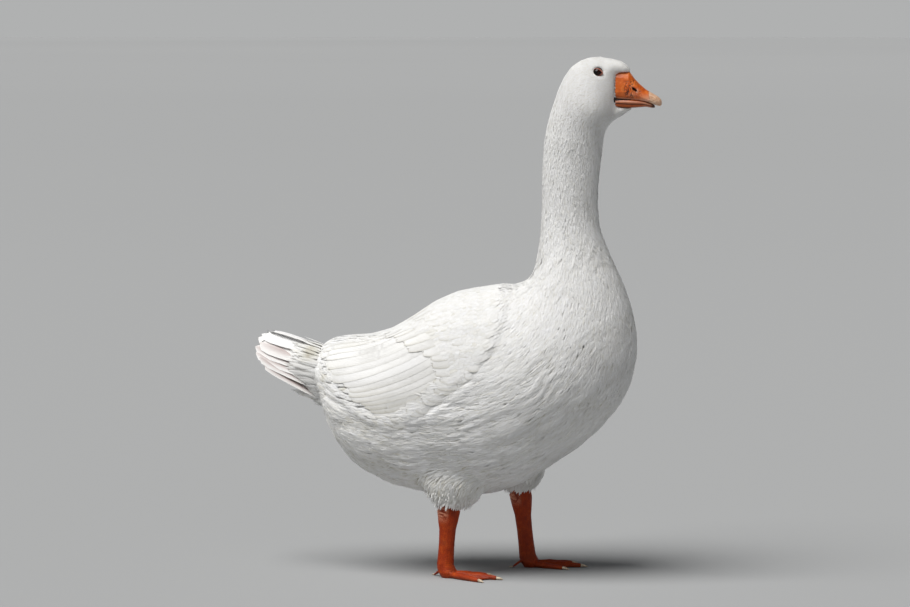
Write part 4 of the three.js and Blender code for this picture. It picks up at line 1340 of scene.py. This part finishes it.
# %% A ring of lids
def add_lids(side_name, centre, ahead, upward, outward):
    """A torus, drawn out to a low front corner. Its attribute outer is 0 at the eye and 1 at the rim."""
    bpy.ops.object.select_all(action="DESELECT")
    bpy.ops.mesh.primitive_torus_add(
        major_segments=64, minor_segments=14, major_radius=LID_RING * MM, minor_radius=LID_THICK * MM
    )
    lids = bpy.context.object
    lids.name = "eyelids_" + side_name
    local = read_points(lids.data) / MM
    turn = np.arctan2(local[:, 1], local[:, 0])
    outer = (np.hypot(local[:, 0], local[:, 1]) - LID_RING + LID_THICK) / (2 * LID_THICK)
    front = np.clip(np.cos(turn), 0, 1) ** 10
    hind = np.clip(-np.cos(turn), 0, 1) ** 8
    local[:, 0] += 2.1 * front - 0.3 * hind
    local[:, 1] = local[:, 1] * (LID_SQUEEZE - 0.1 * front) - 0.6 * front
    # The lids lie on the ball, a little lower at the front corner and higher over the top.
    off_centre = np.minimum(np.hypot(local[:, 0], local[:, 1]), LID_LIMIT)
    on_ball = np.maximum(np.sqrt(EYE_RADIUS**2 - off_centre**2) * 0.82, 2.6)
    local[:, 2] = local[:, 2] * 0.9 + on_ball - 0.7 * front + 0.25 * np.sin(turn)
    world_points = centre + (local[:, :1] * ahead + local[:, 1:2] * upward + local[:, 2:] * outward) * MM
    write_points(lids.data, world_points)
    face_outwards(lids)
    add_attribute(lids.data, "outer", np.clip(outer + 0.15 * front, 0, 1))
    lids.data.materials.append(lid_skin)
    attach(lids, BODY)


# %% Both eyes
for side_name, side in SIDES.items():
    axes = eye_axes(side)
    add_eyeball(side_name, *axes)
    add_lids(side_name, *axes)
print("eyes face", [round(float(v), 2) for v in axes[-1]])

# %% [markdown]
# ## The bill
# A goose's bill is horn under a thin leathery orange skin. It has a smooth ridge on top, fine wrinkles
# round the nostril's slit, a pale lip where the upper jaw closes and a broad pale nail at the tip. The
# solids already have the right shape, so copies are remeshed finely and smoothed, and the wrinkles and
# rims are moved into the mesh by small amounts, place by place. The slit, the creases, the jaws' rims and
# much of the lower jaw are painted dark as shade, and the ridge carries a painted highlight. The nail is a
# harder plate with a finish of its own.

# %% Bill and nail materials
BILL_STOPS = [(0.28, "#A8420F"), (0.5, "#C65C18"), (0.72, "#DA7A36")]
HORN_STOPS = [(0.25, "#B98A6C"), (0.5, "#D2A888"), (0.8, "#E6CBB4")]


def stained(tree, under, attribute, hex_colour):
    """The colour under, turned to another by the share that a mesh attribute holds."""
    share = add_node(tree, "Attribute", {"attribute_name": attribute}).outputs["Fac"]
    mix = add_node(tree, "Mix", {"data_type": "RGBA"}, i0=share, i6=under, i7=linear(hex_colour))
    return mix.outputs[2]


# The leathery skin of the bill: a mottled orange with a soft sheen, paler at the lips and along the painted
# highlight of the ridge, and painted nearly black as shade in its creases, its slit and along the mouth.
# Its pores are drawn about 1 mm apart, and real ones are finer.
orange_bill, tree, shader = new_material("leathery_orange_bill_skin")
where = add_node(tree, "TexCoord")
mottle = add_node(tree, "TexNoise", Vector=where.outputs["Object"], Scale=130.0, Detail=6.0, Roughness=0.62)
colour = add_node(tree, "ValToRGB", i0=mottle.outputs[0], stops=BILL_STOPS).outputs[0]
# The lips and the tip are paler, and so is the ridge, where it is a painted highlight.
colour = stained(tree, colour, "pale", "#DDA68A")
# Painted shade: the creases, the slit and the rims of the mouth turn nearly black.
colour = stained(tree, colour, "painted_jaw_shade", "#260C05")
pores = add_node(tree, "TexVoronoi", Vector=where.outputs["Object"], Scale=1100.0)
leather = add_node(tree, "Bump", i0=0.22, i1=0.00018, Height=pores.outputs[0])
gloss = {"Roughness": 0.4, "IOR": 1.5, "Specular_IOR_Level": 0.4}
set_inputs(tree, shader, Base_Color=colour, Normal=leather.outputs[0], **gloss)

# Horn, polished by use: smooth and pale, with fine streaks along the way it grows.
nail_horn, tree, shader = new_material("polished_pale_nail_horn")
where = add_node(tree, "TexCoord")
stretch = add_node(tree, "Mapping", Vector=where.outputs["Object"], Scale=(60, 700, 260))
growth = add_node(tree, "TexNoise", Vector=stretch.outputs[0], Scale=1.0, Detail=4.0)
nail_colour = add_node(tree, "ValToRGB", i0=growth.outputs[0], stops=HORN_STOPS)
nail_bump = add_node(tree, "Bump", i0=0.2, i1=0.00015, Height=growth.outputs[0])
gloss = {"Roughness": 0.3, "IOR": 1.55}
set_inputs(tree, shader, Base_Color=nail_colour.outputs[0], Normal=nail_bump.outputs[0], **gloss)
print("bill skin and nail horn mixed")

# %% Tools for the bill
BILL_VOXEL = 0.6 * MM
BILL_BASE = 259.6  # mm; where the bare skin begins
NOSTRIL = np.array([291, 13.6, 770])  # mm


def fine_copy(nodes, name, voxel, smooth_times, fatten=0.0):
    """A remeshed and smoothed copy of some nodes, still inside their own outline."""
    made = copy_of_nodes(nodes, name, fatten)
    modify(made, "REMESH", mode="VOXEL", voxel_size=voxel)
    modify(made, "SMOOTH", factor=0.5, iterations=smooth_times)
    modify(made, "TRIANGULATE")
    only(made)
    bpy.ops.object.shade_smooth()
    return made


def bump_between(values, start, end):
    """0 outside start and end, 1 halfway between them, and smooth in between."""
    return np.sin(math.pi * np.clip((values - start) / (end - start), 0, 1)) ** 2


def spot(p, x, z, wide, high):
    """1 at a place of the bill's side, fading out over these half sizes."""
    return np.exp(-(((p[:, 0] - x) / wide) ** 2) - ((p[:, 2] - z) / high) ** 2)


def edges_of(p, slice_width=2.0):
    """The lowest and highest point of the shape's slice at each point."""
    index = ((p[:, 0] - p[:, 0].min()) / slice_width).astype(int)
    low = np.full(index.max() + 1, np.inf)
    high = np.full(index.max() + 1, -np.inf)
    np.minimum.at(low, index, p[:, 2])
    np.maximum.at(high, index, p[:, 2])
    middles = p[:, 0].min() + (np.arange(len(low)) + 0.5) * slice_width
    return np.interp(p[:, 0], middles, low), np.interp(p[:, 0], middles, high)


# %% Finishing a jaw
def finish_jaw(jaw, node, pale, painted_jaw_shade):
    """Gives a jaw its colour attributes and its place in the bird."""
    add_attribute(jaw.data, "pale", np.clip(pale, 0, 1))
    add_attribute(jaw.data, "painted_jaw_shade", np.clip(painted_jaw_shade, 0, 1))
    jaw.data.materials.append(orange_bill)
    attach(jaw, BODY)
    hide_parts(node)


# %% [markdown]
# ## The upper jaw
# Its side is creased round the nostril, and most of all behind it. A noise that is stretched upwards
# gives short creases, which are pressed into the mesh and painted dark as shade. The lip is a pale rounded
# strip.

# %% Upper jaw
UPPER_DROOP = 1.7  # mm that the upper rim hangs lower at the back of the mouth
upper = fine_copy(["bill_upper"], "bill_upper_skin", BILL_VOXEL, 4)
points = read_points(upper.data)
normals = read_points(upper.data, "vertices", "normal")
p = own_millimetres(points)
aside = np.abs(p[:, 1])
on_side_face = np.clip((aside - 4) / 3, 0, 1)
from_nostril = p - NOSTRIL * (1, 0, 1)
slit = math.radians(42)  # the nostril's slit slopes down towards the tip
along_slit = from_nostril[:, 0] * math.cos(slit) - from_nostril[:, 2] * math.sin(slit)
across_slit = from_nostril[:, 0] * math.sin(slit) + from_nostril[:, 2] * math.cos(slit)
oval = np.hypot(along_slit / 4.8, across_slit / 1.9)
nostril_rim = bump_between(oval, 0.95, 2.0) * on_side_face
creased = 1.3 * spot(p, 281, 771, 7, 11) + spot(p, 288, 781, 8, 4.5) + spot(p, 289, 761, 9, 4)
creased = creased + 0.9 * spot(p, 298, 768, 3, 6)
creased = np.clip(creased, 0, 1) * on_side_face
crease = noise(p[:, 0] / 1.5 + p[:, 2] / 8, p[:, 2] / 4.2 - p[:, 0] / 9, aside / 12)
crease = np.exp(-((crease / 0.21) ** 2))
above_lip = p[:, 2] - edges_of(p)[0]
lip = np.exp(-(((above_lip - 1.7) / 1.2) ** 2)) * on_side_face
move = 0.4 * nostril_rim - 0.4 * crease * (0.15 + creased) * (p[:, 0] < 312) + 0.25 * lip
droop = UPPER_DROOP * np.interp(p[:, 0], [257, 262, 292, 308], [0.4, 1, 1, 0])
droop = droop * np.clip(1 - above_lip / 5, 0, 1)
write_points(upper.data, points + normals * move[:, None] * MM - droop[:, None] * (0, 0, MM))

# The lip, the tip and the nostril's rim are paler, and the ridge has a painted highlight. The slit, the
# creases, the line at the base and the lowest rim are painted dark, as shade.
near_tip = np.clip((p[:, 0] - 296) / 14, 0, 1)
pale = 0.8 * lip + 0.7 * near_tip * np.clip(1.5 - above_lip / 9, 0, 1) + 0.12 * nostril_rim
pale = pale + 0.75 * spot(p, 295, 768.5, 1.5, 3.2) * on_side_face + 0.35 * spot(p, 287, 762, 8, 3)
# A painted highlight runs along the ridge.
pale = pale + 0.25 * np.exp(-((aside / 4) ** 2)) * (p[:, 0] > 283)
# Painted shade: the nostril's slit, the creases, the line at the bill's base and the rim over the mouth.
painted_jaw_shade = np.clip(1.5 - oval, 0, 1) * on_side_face + crease * creased
painted_jaw_shade = painted_jaw_shade + 0.6 * np.exp(-(((p[:, 0] - BILL_BASE) / 1.0) ** 2)) + 0.5 * np.clip(1 - above_lip / 0.5, 0, 1)
finish_jaw(upper, "bill_upper", pale, painted_jaw_shade)

# %% [markdown]
# ## The lower jaw and the mouth's lining
# The lower jaw tucks in under the upper one. Its side has a pale stripe over a groove and an orange-brown
# stripe under that, and the whole jaw is painted darker as shade, darkest at its top rim under the upper
# jaw, in the groove, at its keel and at its tip under the nail. Between the jaws a nearly black lining
# shows as a line, painted as the shade in the gap: it is a shrunken copy of the lower jaw, raised into
# the gap, so that no light comes through the mouth.

# %% Lower jaw
FRONT_CLOSING = 1.5  # mm that the lower rim rises to meet the upper one toward the tip
lower = fine_copy(["bill_lower"], "bill_lower_skin", BILL_VOXEL, 4)
points = read_points(lower.data)
normals = read_points(lower.data, "vertices", "normal")
p = own_millimetres(points)
low, high = edges_of(p)
share = (high - p[:, 2]) / np.maximum(high - low, 1)
# share is 0 at the jaw's upper rim and 1 at its keel.
faces_out = np.clip((np.abs(normals[:, 1]) - 0.2) * 4, 0, 1)
groove = np.exp(-(((share - 0.56) / 0.06) ** 2)) * faces_out
closing = FRONT_CLOSING * np.interp(p[:, 0], [260, 266, 290, 302], [0.2, 0.7, 0.7, 1])
closing = closing * np.clip(1.3 - share / 0.6, 0, 1)
write_points(lower.data, points - normals * 0.35 * groove[:, None] * MM + closing[:, None] * (0, 0, MM))
pale = 0.55 * bump_between(share, 0.1, 0.56) * faces_out + 0.3 * np.clip((p[:, 0] - 300) / 10, 0, 1)
tomium = np.clip(1.3 - (high - p[:, 2]) / 0.4, 0, 1) * np.clip((302 - p[:, 0]) / 10, 0, 1)
# Painted shade: darker all over, and most at the top rim under the upper jaw, in the groove, at the keel
# and at the tip.
painted_jaw_shade = 0.9 * groove + 0.95 * tomium + 0.26 + 0.6 * np.clip((share - 0.85) / 0.15, 0, 1)
painted_jaw_shade = painted_jaw_shade + 0.6 * np.clip((p[:, 0] - 314) / 5, 0, 1)
finish_jaw(lower, "bill_lower", pale, painted_jaw_shade)

# %% Mouth lining
MOUTH_SHADE_STOPS = [(0.3, "#0D0504"), (0.7, "#220C08")]
LINING_RISE = 2.4  # mm
LINING_SHRINK = -0.9  # mm

# The moist lining of a mouth, seen only as a gap, and the pleats at its corners: painted nearly black as
# the shade in there, and dull enough that it never glints.
finish = {"Roughness": 0.55, "Specular_IOR_Level": 0.2}
mouth_shade_material = grainy_material("mouth_lining_painted_shade", 500.0, 3.0, MOUTH_SHADE_STOPS, 0.3, 0.0002, **finish)
lining = fine_copy(["bill_lower"], "mouth_lining", 0.9 * MM, 3, LINING_SHRINK * MM)
points = read_points(lining.data)
points[:, 2] += LINING_RISE * MM * np.clip((306 - own_millimetres(points)[:, 0]) / 26, 0.7, 1)
write_points(lining.data, points)
lining.data.materials.append(mouth_shade_material)
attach(lining, BODY)

# %% [markdown]
# ## The nail and the corners of the mouth
# The nail is the hard plate at the tip. At each corner of the mouth a little pleat of bare skin lets the
# jaws open; it is painted nearly black like the lining, as shade. The pleat is a ball, pulled up into a
# bean and creased across.

# %% Nail and gape pleats
BESIDE_HEAD = 60  # mm out from the middle, past the cheek
nail = fine_copy(["bill_nail"], "bill_nail_plate", 0.45 * MM, 3)
nail.data.materials.append(nail_horn)
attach(nail, BODY)
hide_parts("bill_nail")

GAPE = (258.2, 753.6)  # mm; how far forward and how high the corners of the mouth are
PLEAT_SIZE = np.array([2.2, 1.7, 4.2])  # mm
for side_name, side in SIDES.items():
    start = place(GAPE[0], side * BESIDE_HEAD, GAPE[1])
    on_cheek = np.array(skin_tree.ray_cast(start, Vector((0, -side, 0)))[0])
    bpy.ops.object.select_all(action="DESELECT")
    bpy.ops.mesh.primitive_uv_sphere_add(segments=40, ring_count=28, radius=1)
    pleat = bpy.context.object
    pleat.name = "gape_pleat_" + side_name
    shape = read_points(pleat.data)
    crossways = 1 - 0.16 * np.abs(np.sin(shape[:, 2] * 5.5)) - 0.1 * shape[:, 2] ** 2
    shape[:, 0] = shape[:, 0] * crossways + 0.5 * shape[:, 2] ** 2
    shape[:, 1] *= crossways
    write_points(pleat.data, on_cheek + (shape * PLEAT_SIZE + (0, 0.3 * side, 0)) * MM)
    only(pleat)
    bpy.ops.object.shade_smooth()
    pleat.data.materials.append(mouth_shade_material)
    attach(pleat, BODY)
print("bill:", [len(o.data.polygons) for o in (upper, lower, lining, nail)], "triangles")

# %% [markdown]
# ## The feather edge round the bill
# The white feathering ends at the bill in a finely scalloped edge that lies over the orange skin by a
# millimetre. Tiny blades are set along that edge. Their pointed roots make the scallops.

# %% The outermost of jaw and cheek
jaw_corners = [read_points(jaw.data) for jaw in (upper, lower)]
jaw_faces = [triangles_of(upper.data), triangles_of(lower.data) + len(jaw_corners[0])]
jaw_tree = BVHTree.FromPolygons(np.concatenate(jaw_corners).tolist(), np.concatenate(jaw_faces).tolist())


def on_jaw_or_cheek(x, z, side):
    """The outermost place of the jaws and the skin at a place seen from the side, or None."""
    start = place(x, side * BESIDE_HEAD, z)
    hits = [tree.ray_cast(start, Vector((0, -side, 0)))[0] for tree in (jaw_tree, skin_tree)]
    hits = [hit for hit in hits if hit is not None and hit[1] * side > 2 * MM]
    return max(hits, key=lambda hit: hit[1] * side) if hits else None


# %% Feather edge
# The edge runs up the side of the bill's base and forward along the forehead. All in mm.
EDGE_BOTTOM = 741
EDGE_TOP = 797.6
EDGE_FRONT = 280
EDGE_STEP = 0.75
SCALLOP = 4.6
EDGE_HALF = 0.62
EDGE_SHARES = [0.0, 0.9, 1.0, 0.5]
EDGE_HEIGHTS = [0.12, 0.5, 0.6, 0.35]


def bill_edge(side_name, seed):
    """A row of tiny blades on one side, each drawn as a line of four places from its root back."""
    random = np.random.default_rng(seed)
    side = SIDES[side_name]
    lines = []
    for z in np.arange(EDGE_BOTTOM, EDGE_TOP, EDGE_STEP):
        ahead = 1.0 + 0.55 * math.cos(math.tau * z / SCALLOP) + random.normal(0, 0.12)
        lines.append([(BILL_BASE + ahead - back, z + random.normal(0, 0.2)) for back in (0, 1.3, 2.8, 4.4)])
    for x in np.arange(BILL_BASE + 0.5, EDGE_FRONT, EDGE_STEP):
        below = 0.4 + 0.45 * math.cos(math.tau * x / SCALLOP) + random.normal(0, 0.12)
        lines.append([(x - back * 0.5, EDGE_TOP - below + back) for back in (0, 1.3, 2.6, 3.9)])
    found = [[on_jaw_or_cheek(x, z, side) for x, z in line] for line in lines]
    centres = np.array([[list(hit) for hit in line] for line in found if all(line)])
    count = len(centres)
    half = EDGE_HALF * random.uniform(0.85, 1.15, count)[:, None] * np.array(EDGE_SHARES)
    height = np.array(EDGE_HEIGHTS) * random.uniform(0.85, 1.15, count)[:, None]
    normals = np.broadcast_to(np.array([0.25, side, 0.0]) / 1.031, centres.shape)
    _, _, fields = settle(centres[:, 1])
    tints = random.uniform(0.05, 0.2, count)
    looks = {"arch": 0.3, "thick": 0.2, "tint": tints, "unrolled": unrolled(fields)}
    name = "bill_edge_feathers_" + side_name
    make_feathers(name, centres, normals, half, height, BLADE_ACROSS, plumage, looks)


for side_name in SIDES:
    bill_edge(side_name, seed=71)


# %% [markdown]
# ## Legs and feet
# The bare leg is covered in small flat scales like pebbles, with a row of wide plates down the front of
# the shank and along the top of each toe, and the skin folds at the hock. The web between the toes is
# thin and finely grained. Middles of scales are scattered on the leg, close together for pebbles and in
# single file for the plates. A place that lies as near to one middle as to the next is on the crease
# between two scales, and the mesh is pressed in there, so the scales are real relief and the colour can
# follow them.

# %% Leg and claw materials
LEG_STOPS = [(0.28, "#802402"), (0.52, "#9C3303"), (0.75, "#B64B0C")]
CLAW_STOPS = [(0.3, "#8E7A66"), (0.55, "#C9B79E"), (0.8, "#E0D2BE")]

# The scaly skin of a leg: a deep dry orange-red with hardly any gloss, darker between the scales, paler in
# the folds of the hock, and brown with dried mud low down.
leg_scales, tree, shader = new_material("scaly_orange_leg_skin")
where = add_node(tree, "TexCoord")
mottle = add_node(tree, "TexNoise", Vector=where.outputs["Object"], Scale=75.0, Detail=6.0, Roughness=0.6)
colour = add_node(tree, "ValToRGB", i0=mottle.outputs[0], stops=LEG_STOPS).outputs[0]
colour = stained(tree, colour, "pale", "#E0A183")
colour = stained(tree, colour, "crease", "#6E1F0A")
colour = stained(tree, colour, "grime", "#5A3A28")
pores = add_node(tree, "TexVoronoi", Vector=where.outputs["Object"], Scale=900.0)
leg_bump = add_node(tree, "Bump", i0=0.25, i1=0.0002, Height=pores.outputs[0])
gloss = {"Roughness": 0.5, "IOR": 1.5, "Specular_IOR_Level": 0.22}
set_inputs(tree, shader, Base_Color=colour, Normal=leg_bump.outputs[0], **gloss)

# Claw horn, worn on the ground: pale and cloudy, with a dull polish.
claw_horn = grainy_material("worn_claw_horn", 420.0, 4.0, CLAW_STOPS, 0.3, 0.0002, Roughness=0.4)
print("leg skin and claw horn mixed")

# %% Where the scales lie
LEG_VOXEL = 0.9 * MM
# All in mm: the spacing of the pebbles, of the plates down the shank and of those on the toes.
PEBBLE = 2.7
PLATE = 4.4
TOE_PLATE = 3.6
PLATE_REACH = 5.6  # no pebble has its middle this close to a plate's
# The ankles in mm, how far each foot turns out, and the toes' angles and lengths.
ANKLES = {"right": (0, -73, 21), "left": (104, 72, 21)}
TOES_OUT = {"right": 9, "left": 7}
TOE_ANGLES = {"inner": -27, "middle": 0, "outer": 27}
TOE_LENGTHS = {"inner": 66, "middle": 86, "outer": 78}


def toe_line(side_name, toe):
    """Points along the top of a toe, a plate apart, in the goose's own millimetres."""
    side = SIDES[side_name]
    ankle = np.array(ANKLES[side_name], float)
    turn = math.radians(side * (TOES_OUT[side_name] + TOE_ANGLES[toe]))
    reach = np.arange(14, TOE_LENGTHS[toe], TOE_PLATE)[:, None]
    return ankle * (1, 1, 0) + reach * np.array([math.cos(turn), math.sin(turn), 0]) + (0, 0, 11)


def middles_of_scales(p, plates, random):
    """Where the scales of a leg have their middles, pebbles first."""
    leg_tree = tree_of(p.tolist())
    plate_tree = tree_of(plates.tolist())
    middles = []
    free = np.ones(len(p), bool)
    for index in random.permutation(len(p)):
        if free[index]:
            point = p[index].tolist()
            if plate_tree.find(point)[2] > PLATE_REACH:
                middles.append(point)
            for _, other, _ in leg_tree.find_range(point, PEBBLE):
                free[other] = False
    for plate in plates.tolist():
        middles.append(p[leg_tree.find(plate)[1]].tolist())
    return middles


# %% Legs
def scaly_leg(side_name, seed):
    """One leg from the hock down: its shank, toes and web in one skin, with creases between its scales."""
    parts = [f"shank_{side_name}", f"foot_{side_name}"]
    leg = fine_copy(parts, "leg_" + side_name, LEG_VOXEL, 4, fatten=0.2 * MM)
    points = read_points(leg.data)
    normals = read_points(leg.data, "vertices", "normal")
    random = np.random.default_rng(seed)
    hock, ankle = np.array(HOCKS[side_name], float), np.array(ANKLES[side_name], float)
    p = own_millimetres(points)
    share = np.clip((hock[2] - p[:, 2]) / (hock[2] - ankle[2]), 0, 1)[:, None]
    axis = hock + (ankle - hock) * share
    ahead = p[:, 0] - axis[:, 0]
    aside = p[:, 1] - axis[:, 1]

    heights = np.arange(ankle[2] + 2, hock[2] - 14, PLATE)
    front = ankle + (hock - ankle) * ((heights - ankle[2]) / (hock[2] - ankle[2]))[:, None] + (14, 0, 0)
    plates = np.concatenate([front] + [toe_line(side_name, toe) for toe in TOE_ANGLES])
    middles = middles_of_scales(p, plates, random)
    middle_tree = tree_of(middles)
    near = np.array([[hit[2] for hit in middle_tree.find_n(point, 2)] for point in p.tolist()])
    crease = np.exp(-(((near[:, 1] - near[:, 0]) / 0.55) ** 2))

    on_web = (np.abs(normals[:, 2]) > 0.9) & (p[:, 2] < 4.5)
    under = (normals[:, 2] < -0.5) & (p[:, 2] < 1.5)
    fold = noise(p[:, 2] / 2.6 + ahead / 14, aside / 9, ahead / 9)
    hock_zone = bump_between(p[:, 2], hock[2] - 38, hock[2] + 4) * np.clip((4 - ahead) / 6, 0, 1)
    fold = np.exp(-((fold / 0.2) ** 2)) * hock_zone
    deep = crease * np.where(on_web, 0.3, 1.0) * ~under
    move = -0.45 * deep - 0.75 * fold
    write_points(leg.data, points + normals * move[:, None] * MM)
    grime = np.clip(1 - p[:, 2] / 9, 0, 1) ** 2 * 0.45
    grime = grime + 0.3 * np.clip(noise(*(p / 14).T), 0, 1) * (p[:, 2] < 60)
    add_attribute(leg.data, "crease", np.clip(0.65 * deep + 0.8 * fold, 0, 1))
    add_attribute(leg.data, "grime", np.clip(grime, 0, 0.6))
    add_attribute(leg.data, "pale", np.clip(0.7 * (1 - fold) * hock_zone, 0, 1))
    leg.data.materials.append(leg_scales)
    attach(leg, BODY)
    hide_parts(f"shank_{side_name}", f"foot_{side_name}")
    print("leg", side_name, len(leg.data.polygons), "triangles,", len(middles), "scales")


# %% Legs and claws
for side_name in SIDES:
    scaly_leg(side_name, seed=61)
    claws = [f"claw_{side_name}_{toe}" for toe in ("inner", "middle", "outer", "hind")]
    for claw in claws:
        horn = fine_copy([claw], claw + "_horn", 0.4 * MM, 6)
        horn.data.materials.append(claw_horn)
        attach(horn, BODY)
        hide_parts(claw)


# %% [markdown]
# ## Hand over
# The skin stands for all the nodes of flesh, and every piece rides on the one body.

# %% Finish
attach(skin, BODY)
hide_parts(*FLESH)
